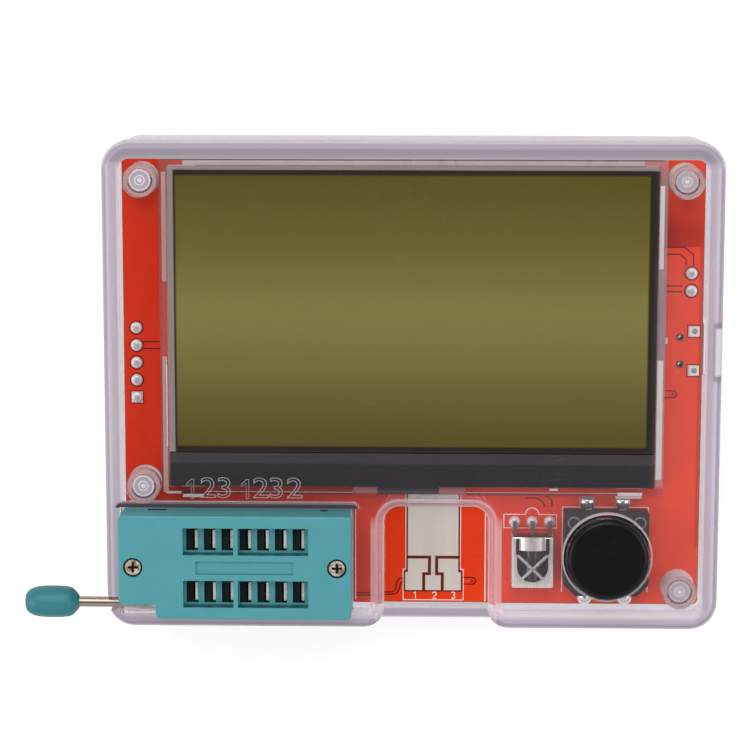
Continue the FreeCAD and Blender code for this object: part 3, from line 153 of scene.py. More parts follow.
swing = multiply(tree, calc(tree, "SUBTRACT", both, 0.5), surfaceGrain["swing"], enter["Shade"])
toned = addNode(tree, "HueSaturation", {"Color": enter["Colour"], "Value": calc(tree, "ADD", swing, 1.0)})[0]
gloss = scaleRange(tree, both, *surfaceGrain["gloss"], enter["Rough Low"], enter["Rough High"])
for name, value in (("Colour", toned), ("Roughness", gloss), ("Height", noises[1])):
    tree.links.new(value, leave[name])

# plateMask: 1 inside a rectangle of the plan, with a soft edge
tree, enter, leave = startGroup(
    "plateMask",
    [("Left", "Float", -0.01), ("Right", "Float", 0.01), ("Low", "Float", -0.01), ("High", "Float", 0.01),
     ("Soft", "Float", 0.0002)],
    [("Mask", "Float")])
place, where = objectPlace(tree)
sides = []
for near, far in ((where["X"], enter["Left"]), (enter["Right"], where["X"]),
                  (where["Y"], enter["Low"]), (enter["High"], where["Y"])):
    inside = calc(tree, "DIVIDE", calc(tree, "SUBTRACT", near, far), enter["Soft"])
    sides.append(addNode(tree, "Clamp", {"Value": calc(tree, "ADD", inside, 0.5)})[0])
tree.links.new(multiply(tree, *sides), leave["Mask"])

# fineScratch: thin wandering hairlines for worn plastic and film
fineScratch = {"lines": [(0.35, (1.0, 9.0, 1.0)), (-1.1, (1.0, 12.0, 1.0))], "thin": 0.012,
               "gateScale": 90.0, "gate": (0.56, 0.7)}
tree, enter, leave = startGroup(
    "fineScratch", [("Scale", "Float", 160.0), ("Amount", "Float", 0.5)], [("Mask", "Float")])
place = addNode(tree, "TexCoord")["Object"]
lines = []
for turn, stretch in fineScratch["lines"]:
    turned = addNode(tree, "Mapping", {"Vector": place, "Rotation": (0, 0, turn), "Scale": stretch})[0]
    noise = addNode(tree, "TexNoise", {"Vector": turned, "Scale": enter["Scale"], "Detail": 2.0})[0]
    ridge = calc(tree, "ABSOLUTE", calc(tree, "SUBTRACT", noise, 0.5))
    lines.append(scaleRange(tree, ridge, 0.0, fineScratch["thin"], 1.0, 0.0))
gate = addNode(tree, "TexNoise", {"Vector": place, "Scale": fineScratch["gateScale"], "Detail": 1.0})[0]
gateOpen = scaleRange(tree, gate, *fineScratch["gate"])
tree.links.new(multiply(tree, calc(tree, "MAXIMUM", *lines), gateOpen, enter["Amount"]), leave["Mask"])
print("shared effects ready")


def inPlate(tree, sides, soft):
    left, right, low, high = [side * mm for side in sides]
    return placeGroup(tree, "plateMask", {"Left": left, "Right": right, "Low": low, "High": high,
                                          "Soft": soft * mm})["Mask"]


def bareFinish(name):
    finish = bpy.data.materials.new(name)
    finish.use_nodes = True
    tree = finish.node_tree
    tree.nodes.clear()
    return finish, tree, tree.nodes.new("ShaderNodeOutputMaterial").inputs["Surface"]


finishes = {}


def newFinish(name, wearer):
    # the wearer is a material slot of the record, or one node that differs from its slot
    finishes[wearer], tree, surface = bareFinish(name)
    shader = tree.nodes.new("ShaderNodeBsdfPrincipled")
    tree.links.new(shader.outputs[0], surface)
    return tree, shader, surface


grainUsual = {"shade": 0.06, "scale": 400.0, "stretch": (1.0, 1.0, 1.0), "bump": (0.000006, 0.2)}
shaderInputs = {"metal": "Metallic", "coat": "Coat Weight", "coatRough": "Coat Roughness", "alpha": "Alpha",
                "shine": "Specular IOR Level", "ior": "IOR", "clear": "Transmission Weight"}


def layGrain(tree, shader, look, colour, height=None):
    # grain on a shader: colour, gloss, a bump of some depth and strength, and the look's constants
    look = {**grainUsual, **look}
    grain = placeGroup(tree, "surfaceGrain", {
        "Colour": colour, "Shade": look["shade"], "Scale": look["scale"], "Stretch": look["stretch"],
        "Rough Low": look["rough"][0], "Rough High": look["rough"][1]})
    tree.links.new(grain["Colour"], shader.inputs["Base Color"])
    tree.links.new(grain["Roughness"], shader.inputs["Roughness"])
    if look["bump"]:
        depth, strength = look["bump"]
        bump = addNode(tree, "Bump", {"Height": grain["Height"] if height is None else height,
                                      "Distance": depth, "Strength": strength})
        tree.links.new(bump[0], shader.inputs["Normal"])
    for name, socket in shaderInputs.items():
        if name in look:
            shader.inputs[socket].default_value = look[name]
    return grain


def grainFinish(name, look, wearer=None):
    tree, shader, surface = newFinish(name, wearer or name)
    layGrain(tree, shader, look, paint(*look["colour"]))
    return finishes[wearer or name]


# finishes with nothing but grain: colour on screen, gloss range, grain size and direction
plainLooks = {
    "teal_plastic": {"colour": (78, 154, 162), "rough": (0.36, 0.52), "shade": 0.03, "scale": 300.0,
                     "shine": 0.4},
    "contact_metal": {"colour": (240, 235, 226), "rough": (0.22, 0.36), "metal": 0.5, "stretch": (1, 1, 0.1),
                      "shade": 0.03},
    "lever_steel": {"colour": (158, 144, 133), "rough": (0.22, 0.36), "metal": 1.0, "stretch": (0.08, 1, 1),
                    "scale": 900.0, "shade": 0.08},
    "tinned_land": {"colour": (214, 202, 193), "rough": (0.42, 0.58), "metal": 0.3, "stretch": (1, 0.12, 1),
                    "scale": 700.0, "shade": 0.04},
    "pin_gold": {"colour": (214, 178, 104), "rough": (0.2, 0.32), "metal": 1.0, "scale": 900.0},
    "port_steel": {"colour": (200, 196, 190), "rough": (0.24, 0.4), "metal": 0.7, "stretch": (1, 0.1, 1),
                   "scale": 800.0},
    "port_black": {"colour": (30, 30, 32), "rough": (0.4, 0.55), "scale": 600.0},
    "chip_black": {"colour": (38, 38, 41), "rough": (0.5, 0.68), "scale": 900.0, "shade": 0.12},
    "ceramic_tan": {"colour": (178, 142, 102), "rough": (0.36, 0.5), "scale": 900.0, "shade": 0.1},
    "ferrite": {"colour": (54, 54, 58), "rough": (0.55, 0.75), "scale": 900.0, "shade": 0.14},
    "can_metal": {"colour": (204, 204, 200), "rough": (0.16, 0.3), "metal": 1.0, "stretch": (0.1, 1, 1),
                  "scale": 800.0},
    "lens_dark": {"colour": (34, 32, 32), "rough": (0.14, 0.26), "scale": 500.0, "coat": 0.2,
                  "coatRough": 0.08},
    "shield_tin": {"colour": (220, 213, 205), "rough": (0.2, 0.32), "metal": 0.45, "stretch": (1, 0.2, 1),
                   "scale": 500.0, "shade": 0.03},
    "wire_red": {"colour": (196, 30, 26), "rough": (0.35, 0.5), "scale": 500.0},
    "wire_black": {"colour": (28, 28, 30), "rough": (0.35, 0.5), "scale": 500.0},
    "cap_black": {"colour": (22, 22, 22), "rough": (0.16, 0.26), "scale": 500.0, "shade": 0.12,
                  "shine": 0.14},
    "switch_black": {"colour": (34, 35, 35), "rough": (0.5, 0.66), "scale": 700.0, "shine": 0.3},
    "dome_steel": {"colour": (196, 195, 190), "rough": (0.16, 0.3), "metal": 1.0, "scale": 700.0},
    "light_guide": {"colour": (226, 228, 222), "rough": (0.2, 0.34), "scale": 250.0, "shade": 0.02},
    "amber_tape": {"colour": (186, 118, 34), "rough": (0.22, 0.36), "scale": 260.0, "coat": 0.3,
                   "coatRough": 0.08},
}
for slot, look in plainLooks.items():
    grainFinish(slot + "Finish", look, slot)


def nearestOf(tree, where, places):
    # distance in the plan from the nearest of some places
    flat = addNode(tree, "CombineXYZ", {0: where["X"], 1: where["Y"]})[0]
    nearest = 1.0
    for x, y in places:
        away = addNode(tree, "VectorMath", {0: flat, 1: (x * mm, y * mm, 0)}, operation="DISTANCE")["Value"]
        nearest = calc(tree, "MINIMUM", away, nearest)
    return nearest


def normalOf(tree):
    return addNode(tree, "SeparateXYZ", {0: addNode(tree, "NewGeometry")["Normal"]})


# screw heads: bright and dull patches of plating stand for wear and for painted highlights; painted shade
# darkens the cross recess and the ring round each head
screwSteel = {"bright": (226, 214, 196), "dull": (140, 122, 104), "recessShade": (40, 34, 30), "deeper": 0.06,
              "places": [(-39.62, -25.26), (-10.54, -25.26)], "head": 1.12, "wearAndHighlight": 1500.0,
              "worn": (0.38, 0.6), "shade": 0.1, "scale": 900.0, "rough": (0.26, 0.42), "metal": 0.6,
              "bump": (0.00001, 0.3)}
tree, shader, surface = newFinish("screwSteelFinish", "screw_steel")
place, where = objectPlace(tree)
edge = calc(tree, "GREATER_THAN", nearestOf(tree, where, screwSteel["places"]), screwSteel["head"] * mm)
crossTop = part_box("socket_screws")[1][2] - screwSteel["deeper"] * mm
recessShade = calc(tree, "MAXIMUM", edge, calc(tree, "LESS_THAN", where["Z"], crossTop))
wearAndHighlight = addNode(tree, "TexNoise", {"Vector": place, "Scale": screwSteel["wearAndHighlight"], "Detail": 1.0})[0]
worn = scaleRange(tree, wearAndHighlight, *screwSteel["worn"])
plating = mixPaint(tree, worn, screwSteel["dull"], screwSteel["bright"])
grain = layGrain(tree, shader, screwSteel, plating)
# painted shade in the cross recess and round the head
plating = mixColour(tree, recessShade, grain["Colour"], paint(*screwSteel["recessShade"]))
tree.links.new(plating, shader.inputs["Base Color"])


def lampWindow(tree, surface, shader, haze, look):
    # a clear body with some haze in it: shadow and scattered rays, and rays bent often enough, go straight on
    milky = addNode(tree, "BsdfDiffuse", {"Color": haze[0]})[0]
    body = addNode(tree, "MixShader", {0: haze[1], 1: shader.outputs[0], 2: milky})[0]
    path = addNode(tree, "LightPath")
    through = addNode(tree, "BsdfTransparent", {"Color": look["veil"]})[0]
    share = calc(tree, "MAXIMUM", path["Is Shadow Ray"], path["Is Diffuse Ray"])
    share = calc(tree, "MAXIMUM", share, calc(tree, "GREATER_THAN", path["Ray Depth"], look["depth"]))
    tree.links.new(addNode(tree, "MixShader", {0: share, 1: body, 2: through})[0], surface)


def boxDistance(tree, where, middle, half, corner):
    # distance from a rounded rectangle's outline in the plan, negative inside it
    over = []
    for axis, centre, reach in (("X", middle[0], half[0]), ("Y", middle[1], half[1])):
        away = calc(tree, "ABSOLUTE", calc(tree, "SUBTRACT", where[axis], centre * mm))
        over.append(calc(tree, "SUBTRACT", away, (reach - corner) * mm))
    outside = [calc(tree, "POWER", calc(tree, "MAXIMUM", side, 0.0), 2.0) for side in over]
    reach = calc(tree, "SQRT", calc(tree, "ADD", *outside))
    inside = calc(tree, "MINIMUM", calc(tree, "MAXIMUM", *over), 0.0)
    return calc(tree, "SUBTRACT", calc(tree, "ADD", reach, inside), corner * mm)


def bandRamp(tree, distance, stops):
    # bands of colour by distance in mm, with how strongly each one shows as its alpha
    near, far = stops[0][0], stops[-1][0]
    shares = [((place - near) / (far - near), paint(*colour, shows)) for place, colour, shows in stops]
    return colourRamp(tree, along(tree, distance, (near, far)), shares)


def layOver(tree, under, over, gate):
    # lays one milky layer over another: colour and share
    share = multiply(tree, over[1], gate)
    both = calc(tree, "SUBTRACT", calc(tree, "ADD", under[1], share), multiply(tree, under[1], share))
    return mixColour(tree, share, under[0], over[0]), both


clearCase = {
    "tint": (250, 248, 253), "ior": 1.45, "clear": 1.0, "rough": (0.01, 0.03), "shade": 0.005, "scale": 60.0,
    "bump": None, "scratch": {"Scale": 120.0, "Amount": 0.06}, "veil": (0.985, 0.98, 0.99, 1), "depth": 2.5,
    "pale": (214, 200, 208), "wall": (176, 166, 184), "wallHaze": 0.55, "inWall": (-1.9, -1.6), "blend": 0.5,
    "streak": 420.0, "upward": (0.1, 0.45), "aboveBoard": -0.3, "faceDeep": 1.6,
    "window": (-36.2, 34.8, -15.0, 31.2), "windowSoft": 2.0, "veilRun": (-36.0, 12.0),
    "faceHaze": (0.0, 0.034), "veilRise": (16.0, 21.0), "veilTop": 0.3,
    "half": (44.0, 35.1), "corner": 4.0,
    # painted highlights and dark lines along the walls' rim, here and in the two bands below
    "rim": [(-2.46, (222, 204, 206), 0.0), (-2.36, (222, 204, 206), 0.5), (-2.2, (222, 204, 206), 0.6),
            (-2.1, (156, 146, 157), 0.62), (-1.62, (160, 150, 161), 0.66), (-1.3, (168, 159, 169), 0.7),
            (-1.15, (200, 191, 205), 0.68), (-0.8, (206, 197, 212), 0.74), (-0.68, (156, 146, 164), 0.76),
            (-0.5, (146, 136, 154), 0.8), (-0.25, (182, 173, 187), 0.74), (0.0, (178, 169, 183), 0.8)],
    "lowRim": [(-2.42, (228, 217, 222), 0.0), (-2.3, (228, 217, 222), 0.6), (-1.55, (222, 208, 214), 0.62),
               (-1.35, (164, 154, 172), 0.75), (-0.6, (152, 142, 164), 0.82), (-0.45, (168, 159, 177), 0.8),
               (-0.3, (214, 208, 214), 0.85), (0.0, (214, 208, 214), 0.9)],
    "lowStart": (-31.6, -33.0),
    "topRim": [(-2.56, (166, 160, 163), 0.0), (-2.5, (166, 160, 163), 0.84), (-2.42, (166, 160, 163), 0.86),
               (-2.3, (152, 145, 152), 0.88), (-2.06, (152, 145, 152), 0.88), (-1.92, (140, 133, 145), 0.88),
               (-1.22, (141, 134, 147), 0.88), (-1.08, (163, 154, 167), 0.86), (-0.66, (167, 158, 170), 0.86),
               (-0.5, (158, 150, 162), 0.87), (-0.4, (180, 172, 182), 0.84), (-0.3, (208, 202, 210), 0.8),
               (0.0, (208, 202, 210), 0.8)],
    "topStart": (31.0, 32.4),
    # painted shade at the ends of the charging socket's cut, and painted light in it
    "portEnds": (42.6, 44.3, 1.1, 9.6), "portShade": (140, 130, 142),
    "portCut": (43.0, 44.3, 1.95, 8.75), "portLight": (244, 239, 243), "portSoft": 0.4, "portShare": 0.75,
    "bay": (3.55, -57.3), "bayHalf": (7.45, 40.0), "bayCorner": 2.2,
    "bayRim": [(0.0, (238, 230, 236), 0.85), (0.16, (238, 230, 236), 0.7), (0.3, (206, 186, 198), 0.42),
               (0.75, (206, 178, 190), 0.26), (1.0, (226, 210, 220), 0.45), (1.2, (236, 222, 228), 0.42),
               (1.4, (240, 230, 234), 0.0)],
    # painted pink reflection on the bay's outer sides
    "bayReflection": [(0.85, (238, 172, 168), 0.0), (1.25, (238, 168, 162), 0.3), (1.72, (242, 148, 138), 0.4),
                (1.92, (242, 148, 138), 0.34), (2.04, (242, 148, 138), 0.0)],
    "reflectionTop": (-18.6, -20.6), "reflectionFoot": (-33.3, -32.4),
    "socket": (-25.08, -25.26), "socketHalf": (16.9, 7.8), "socketCorner": 0.3, "farSide": -17.56,
    # painted shade along the far edge of the socket's hole
    "socketShade": [(-0.05, (50, 38, 42), 0.95), (0.5, (58, 40, 44), 0.92), (0.68, (80, 50, 52), 0.42),
                  (0.9, (96, 56, 58), 0.0)],
    "button": (28.13, -24.47), "buttonHole": 6.3,
    # painted highlight round the button's hole
    "holeHighlight": [(-0.02, (226, 214, 222), 0.7), (0.14, (226, 214, 222), 0.5), (0.26, (226, 214, 222), 0.0)],
    "pegs": [(-38.7, 29.4), (38.7, 29.4), (-38.7, -14.7), (38.7, -29.8)],
    # painted haze and highlight rings round the pegs, stronger to the right
    "boss": [(0.0, (150, 140, 142), 0.2), (1.5, (150, 132, 134), 0.5), (1.75, (176, 142, 142), 0.66),
             (2.15, (204, 168, 166), 0.62), (2.38, (232, 220, 222), 0.78), (2.52, (232, 220, 222), 0.6),
             (2.62, (232, 218, 218), 0.0)],
    "bossRun": (-30.0, 30.0), "bossShows": (0.75, 1.4),
}
tree, shader, surface = newFinish("clearCaseFinish", "clear_case")
grain = layGrain(tree, shader, clearCase, paint(*clearCase["tint"]))
scratch = placeGroup(tree, "fineScratch", clearCase["scratch"])["Mask"]
tree.links.new(calc(tree, "ADD", grain["Roughness"], scratch), shader.inputs["Roughness"])
place, where = objectPlace(tree)
upward = scaleRange(tree, normalOf(tree)["Z"], *clearCase["upward"])
outer = boxDistance(tree, where, (0.0, 0.0), clearCase["half"], clearCase["corner"])
bay = boxDistance(tree, where, clearCase["bay"], clearCase["bayHalf"], clearCase["bayCorner"])
socket = boxDistance(tree, where, clearCase["socket"], clearCase["socketHalf"], clearCase["socketCorner"])
hole = calc(tree, "SUBTRACT", nearestOf(tree, where, [clearCase["button"]]), clearCase["buttonHole"] * mm)
pegs = nearestOf(tree, where, clearCase["pegs"])
# a thin milky veil on the face, more to the right, none over the display
outOfWindow = restOf(tree, inPlate(tree, clearCase["window"], clearCase["windowSoft"]))
side = along(tree, where["X"], clearCase["veilRun"], *clearCase["faceHaze"])
upper = along(tree, where["Y"], clearCase["veilRise"], 1.0, clearCase["veilTop"])
milk = (paint(*clearCase["pale"]), multiply(tree, side, upper, outOfWindow))
# upright walls: milky along them, clear through them; the grey and pale streaks in the haze are painted
# reflections
facing = addNode(tree, "LayerWeight", {"Blend": clearCase["blend"]})["Facing"]
sideways = multiply(tree, along(tree, outer, clearCase["inWall"]), restOf(tree, upward))
around = addNode(tree, "CombineXYZ", {0: outer, 1: where["Z"]})[0]
streak = addNode(tree, "TexNoise", {"Vector": around, "Scale": clearCase["streak"], "Detail": 1.0})[0]
wallTone = mixPaint(tree, streak, clearCase["wall"], clearCase["pale"])
milk = layOver(tree, milk, (wallTone, multiply(tree, facing, clearCase["wallHaze"])), sideways)
# painted light and shade in the haze: pale and grey bands along the rim and the bay's edge, a painted pink
# reflection beside the bay, painted shade along the socket hole's far edge, a painted highlight round the
# button hole, and painted rings round the pegs in their sockets
aboveBoard = calc(tree, "GREATER_THAN", where["Z"], boardTop + clearCase["aboveBoard"] * mm)
onFace = calc(tree, "GREATER_THAN", where["Z"], faceTop - clearCase["faceDeep"] * mm)
rising = multiply(tree, upward, aboveBoard)
upFace = multiply(tree, upward, onFace)
lowEdge = along(tree, where["Y"], clearCase["lowStart"])
topEdge = along(tree, where["Y"], clearCase["topStart"])
between = restOf(tree, calc(tree, "MAXIMUM", lowEdge, topEdge))
reflectionSpan = [along(tree, where["Y"], clearCase[end]) for end in ("reflectionTop", "reflectionFoot")]
farSide = calc(tree, "GREATER_THAN", where["Y"], clearCase["farSide"] * mm)
bossSide = along(tree, where["X"], clearCase["bossRun"], *clearCase["bossShows"])
layers = [("rim", outer, (rising, between)), ("topRim", outer, (rising, topEdge)),
          ("lowRim", outer, (rising, lowEdge)), ("bayRim", bay, (upFace,)),
          ("bayReflection", bay, (upFace, *reflectionSpan)), ("socketShade", socket, (onFace, farSide)),
          ("holeHighlight", hole, (onFace,)), ("boss", pegs, (aboveBoard, restOf(tree, onFace), bossSide))]
for bands, distance, gates in layers:
    milk = layOver(tree, milk, bandRamp(tree, distance, clearCase[bands]), multiply(tree, *gates))
# the cut over the charging socket: painted shade at its ends and a painted pale patch of light in the cut
for zone, tone in (("portEnds", "portShade"), ("portCut", "portLight")):
    cut = inPlate(tree, clearCase[zone], clearCase["portSoft"])
    cut = multiply(tree, cut, clearCase["portShare"], onFace)
    milk = layOver(tree, milk, (paint(*clearCase[tone]), cut), upward)
lampWindow(tree, surface, shader, milk, clearCase)

frameClear = {"tint": (248, 238, 236), "ior": 1.45, "clear": 1.0, "rough": (0.01, 0.04), "shade": 0.02,
              "scale": 60.0, "bump": None, "haze": (190, 168, 166), "run": (-34.0, 34.0),
              "milk": (0.14, 0.42), "foot": (-14.7, -14.3), "footShare": 0.12,
              "veil": (0.97, 0.95, 0.95, 1), "depth": 3.5}
tree, shader, surface = newFinish("frameClearFinish", "frame_clear")
layGrain(tree, shader, frameClear, paint(*frameClear["tint"]))
place, where = objectPlace(tree)
side = along(tree, where["X"], frameClear["run"], *frameClear["milk"])
foot = along(tree, where["Y"], frameClear["foot"], frameClear["footShare"], 1.0)
lampWindow(tree, surface, shader, (paint(*frameClear["haze"]), multiply(tree, side, foot)), frameClear)

displayGlass = {"dark": (50, 42, 38), "margin": (152, 143, 135), "inner": (-33.98, 40.0, -20.0, 30.85),
                "soft": 0.2, "shade": 0.05, "scale": 120.0, "rough": (0.08, 0.16), "shine": 0.3, "bump": None}
tree, shader, surface = newFinish("displayGlassFinish", "display_glass")
inner = inPlate(tree, displayGlass["inner"], displayGlass["soft"])
layGrain(tree, shader, displayGlass, mixPaint(tree, inner, displayGlass["margin"], displayGlass["dark"]))

# display film: a painted band of reflected light over the green, lightest near mid-height; the dark border is
# the film's own, and its soft edge at the active area is painted shadow
displayFilm = {"reflectionTones": [(0.0, (84, 77, 26)), (0.234, (113, 106, 50)), (0.476, (138, 131, 69)),
                         (0.606, (123, 116, 56)), (0.755, (109, 102, 43)), (1.0, (88, 81, 22))],
               "active": (-33.66, 33.5, -8.7, 30.15), "activeSoft": 0.3, "border": (46, 36, 28),
               "margin": (152, 143, 135), "inner": (-33.98, 40.0, -20.0, 40.0), "innerSoft": 0.2,
               "shade": 0.012, "scale": 45.0, "rough": (0.2, 0.28), "shine": 0.15, "bump": None}
tree, shader, surface = newFinish("displayFilmFinish", "display_film")
place, where = objectPlace(tree)
rise = along(tree, where["Y"], displayFilm["active"][2:])
reflectionTones = [(share, paint(*tone)) for share, tone in displayFilm["reflectionTones"]]
grain = layGrain(tree, shader, displayFilm, colourRamp(tree, rise, reflectionTones, "B_SPLINE")[0])
inner = inPlate(tree, displayFilm["inner"], displayFilm["innerSoft"])
border = mixPaint(tree, inner, displayFilm["margin"], displayFilm["border"])
active = inPlate(tree, displayFilm["active"], displayFilm["activeSoft"])
tree.links.new(mixColour(tree, active, border, grain["Colour"]), shader.inputs["Base Color"])

blackTape = {"tape": (40, 38, 38), "bare": (60, 56, 56), "taped": (-50.0, 50.0, -30.0, -11.3), "soft": 0.3,
             "scratch": {"Scale": 90.0, "Amount": 0.35}, "scratched": (96, 92, 92),
             "shade": 0.05, "scale": 120.0, "rough": (0.4, 0.55), "shine": 0.25, "bump": (0.000004, 0.1)}
tree, shader, surface = newFinish("blackTapeFinish", "black_tape")
taped = inPlate(tree, blackTape["taped"], blackTape["soft"])
scratch = placeGroup(tree, "fineScratch", blackTape["scratch"])["Mask"]
grain = layGrain(tree, shader, blackTape, mixPaint(tree, taped, blackTape["bare"], blackTape["tape"]))
worn = mixColour(tree, scratch, grain["Colour"], paint(*blackTape["scratched"]))
tree.links.new(worn, shader.inputs["Base Color"])

flexFilm = {"film": (150, 92, 96), "core": (44, 40, 42), "coreSides": (-5.0, 3.95, -30.0, 30.0), "soft": 0.2,
            "scale": 300.0, "rough": (0.26, 0.4), "bump": (0.00001, 0.3)}
tree, shader, surface = newFinish("flexFilmFinish", "flex_film")
core = inPlate(tree, flexFilm["coreSides"], flexFilm["soft"])
layGrain(tree, shader, flexFilm, mixPaint(tree, core, flexFilm["film"], flexFilm["core"]))

# red mask with painted light that makes it lighter to the right, darker where no copper lies under it, and
# the laminate's edge
boardMask = {"red": (218, 48, 10), "lit": (244, 68, 30), "litRun": (-20.0, 30.0), "bare": (172, 34, 8),
             "bareRise": (28.5, 22.0), "bareRun": (36.0, 41.7), "bareLeast": 0.7, "bareLeft": 35.0,
             "track": 19.76, "verge": (41.1, 50.0, -24.0, 19.9), "vergeSoft": 0.3, "vergeShare": 0.55,
             "edge": (168, 74, 40), "sides": (-41.6, 41.6, -32.5, 32.5), "edgeSoft": 0.1, "shade": 0.035,
             "scale": 130.0, "rough": (0.26, 0.4), "shine": 0.12, "bump": (0.000008, 0.3)}
tree, shader, surface = newFinish("boardMaskFinish", "board_mask")
place, where = objectPlace(tree)
rise = along(tree, where["Y"], boardMask["bareRise"])
run = along(tree, where["X"], boardMask["bareRun"], 1.0, boardMask["bareLeast"])
beyond = [calc(tree, "GREATER_THAN", where[axis], boardMask[side] * mm)
          for axis, side in (("X", "bareLeft"), ("Y", "track"))]
verge = multiply(tree, inPlate(tree, boardMask["verge"], boardMask["vergeSoft"]), boardMask["vergeShare"])
bare = calc(tree, "MAXIMUM", multiply(tree, rise, run, *beyond), verge)
red = mixPaint(tree, along(tree, where["X"], boardMask["litRun"]), boardMask["red"], boardMask["lit"])
red = mixColour(tree, bare, red, paint(*boardMask["bare"]))
inner = inPlate(tree, boardMask["sides"], boardMask["edgeSoft"])
layGrain(tree, shader, boardMask, mixColour(tree, inner, paint(*boardMask["edge"]), red))

# joints: a bright ring with a dull pin in the middle
solderJoint = {"ring": (240, 237, 233), "pin": (182, 176, 179), "pinAbove": (0.5, 0.56), "scale": 700.0,
               "rough": (0.3, 0.45), "metal": 0.3, "bump": (0.00001, 0.3)}
tree, shader, surface = newFinish("solderFinish", "solder")
place, where = objectPlace(tree)
pin = along(tree, where["Z"], [base + height for height in solderJoint["pinAbove"]])
layGrain(tree, shader, solderJoint, mixPaint(tree, pin, solderJoint["ring"], solderJoint["pin"]))

# coil wire: painted shade darkens the lines between the turns
copperWire = {"colour": (188, 112, 62), "between": (120, 62, 30), "turnShadeShare": 0.4,
              "turns": {"Scale": 1500.0, "Distortion": 0.4, "Detail": 1.0}, "shade": 0.1, "scale": 700.0,
              "rough": (0.22, 0.36), "metal": 1.0, "bump": (0.00006, 0.6)}
tree, shader, surface = newFinish("copperWireFinish", "copper_wire")
place = addNode(tree, "TexCoord")["Object"]
turns = addNode(tree, "TexWave", {"Vector": place, **copperWire["turns"]}, bands_direction="Z")["Fac"]
grain = layGrain(tree, shader, copperWire, paint(*copperWire["colour"]), turns)
wound = mixColour(tree, multiply(tree, turns, copperWire["turnShadeShare"]), grain["Colour"],
                  paint(*copperWire["between"]))
tree.links.new(wound, shader.inputs["Base Color"])

cellFoil = {"colour": (198, 200, 204), "wrinkle": {"Scale": 110.0, "Detail": 4.0, "Distortion": 1.2},
            "shade": 0.05, "scale": 260.0, "rough": (0.3, 0.44), "metal": 0.8, "bump": (0.0003, 0.35)}
tree, shader, surface = newFinish("cellFoilFinish", "cell_foil")
place = addNode(tree, "TexCoord")["Object"]
wrinkle = addNode(tree, "TexNoise", {"Vector": place, **cellFoil["wrinkle"]})[0]
layGrain(tree, shader, cellFoil, paint(*cellFoil["colour"]), wrinkle)

foamPad = {"colour": (232, 231, 224), "pores": 1800.0, "shade": 0.05, "scale": 500.0, "rough": (0.8, 0.95),
           "bump": (0.0001, 0.5)}
tree, shader, surface = newFinish("foamPadFinish", "foam_pad")
place = addNode(tree, "TexCoord")["Object"]
pores = addNode(tree, "TexVoronoi", {"Vector": place, "Scale": foamPad["pores"]})["Distance"]
layGrain(tree, shader, foamPad, paint(*foamPad["colour"]), pores)

# the socket's cover has shade on the near walls of its troughs
coverTeal = {"colour": (78, 154, 162), "shaded": (30, 92, 98), "troughs": (-33.6, -14.6, -31.4, -19.2),
             "soft": 0.1, "turned": 0.6, "shade": 0.03, "scale": 300.0, "rough": (0.36, 0.52), "shine": 0.4}
tree, shader, surface = newFinish("coverTealFinish", "socket_cover")
facingFar = calc(tree, "GREATER_THAN", normalOf(tree)["Y"], coverTeal["turned"])
shaded = multiply(tree, inPlate(tree, coverTeal["troughs"], coverTeal["soft"]), facingFar)
layGrain(tree, shader, coverTeal, mixPaint(tree, shaded, coverTeal["colour"], coverTeal["shaded"]))

# painted shade: the comb lies deep in the slots and is coloured near black for the shade there
combShaded = {"colour": (18, 36, 38), "rough": (0.5, 0.7), "scale": 500.0, "shine": 0.2}
grainFinish("combDarkFinish", combShaded, "socket_slider")

leadDull = {"colour": (132, 122, 110), "rough": (0.24, 0.4), "metal": 0.6, "stretch": (1, 0.1, 1),
            "scale": 800.0, "shade": 0.1}
grainFinish("leadDullFinish", leadDull, "ir_leads")

for name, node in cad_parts.items():
    slot = node.material_slots[0]
    slot.material = finishes[name if name in finishes else slot.material.name]
print("finishes laid on", len(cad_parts), "nodes")


def deselect():
    if bpy.context.mode != "OBJECT":
        leaveEdit()
    bpy.ops.object.select_all(action="DESELECT")


def intoEdit(kind="FACE"):
    bpy.ops.object.mode_set(mode="EDIT")
    bpy.ops.mesh.select_mode(type=kind)
    bpy.ops.mesh.select_all(action="SELECT")


def leaveEdit():
    bpy.ops.object.mode_set(mode="OBJECT")


def bakePlace():
    bpy.ops.object.transform_apply(location=True, rotation=True, scale=True)


def pickOnly(pieces):
    deselect()
    for piece in pieces:
        piece.select_set(True)
    bpy.context.view_layer.objects.active = pieces[0]


usualAngle = 35.0
weldGap = 0.000001


def settle(piece, angle=usualAngle):
    # the place goes into the mesh, faces point out, curved faces shade smooth
    pickOnly([piece])
    bakePlace()
    intoEdit()
    bpy.ops.mesh.remove_doubles(threshold=weldGap)
    bpy.ops.mesh.normals_make_consistent(inside=False)
    leaveEdit()
    bpy.ops.object.shade_smooth_by_angle(angle=math.radians(angle))


def dress(piece, name, body, finish):
    piece.name = name
    piece.data.name = name
    piece.data.materials.clear()
    piece.data.materials.append(finish)
    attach(piece, body)


def finishPiece(pieces, name, body, finish, angle=usualAngle):
    # joins what a piece is made of, settles it and dresses it
    pickOnly(pieces)
    if len(pieces) > 1:
        bpy.ops.object.join()
    piece = bpy.context.view_layer.objects.active
    settle(piece, angle)
    dress(piece, name, body, finish)


def addShape(maker, place, turn=(0, 0, 0), stretch=(1, 1, 1), **settings):
    # a primitive at a place in mm, with its place, turn and stretch put into the mesh
    deselect()
    maker(location=[side * mm for side in place], rotation=turn, **settings)
    bpy.context.object.scale = stretch
    bakePlace()
    return bpy.context.object


def pull(x, y, z):
    bpy.ops.mesh.extrude_region_move(TRANSFORM_OT_translate={"value": (x * mm, y * mm, z * mm)})


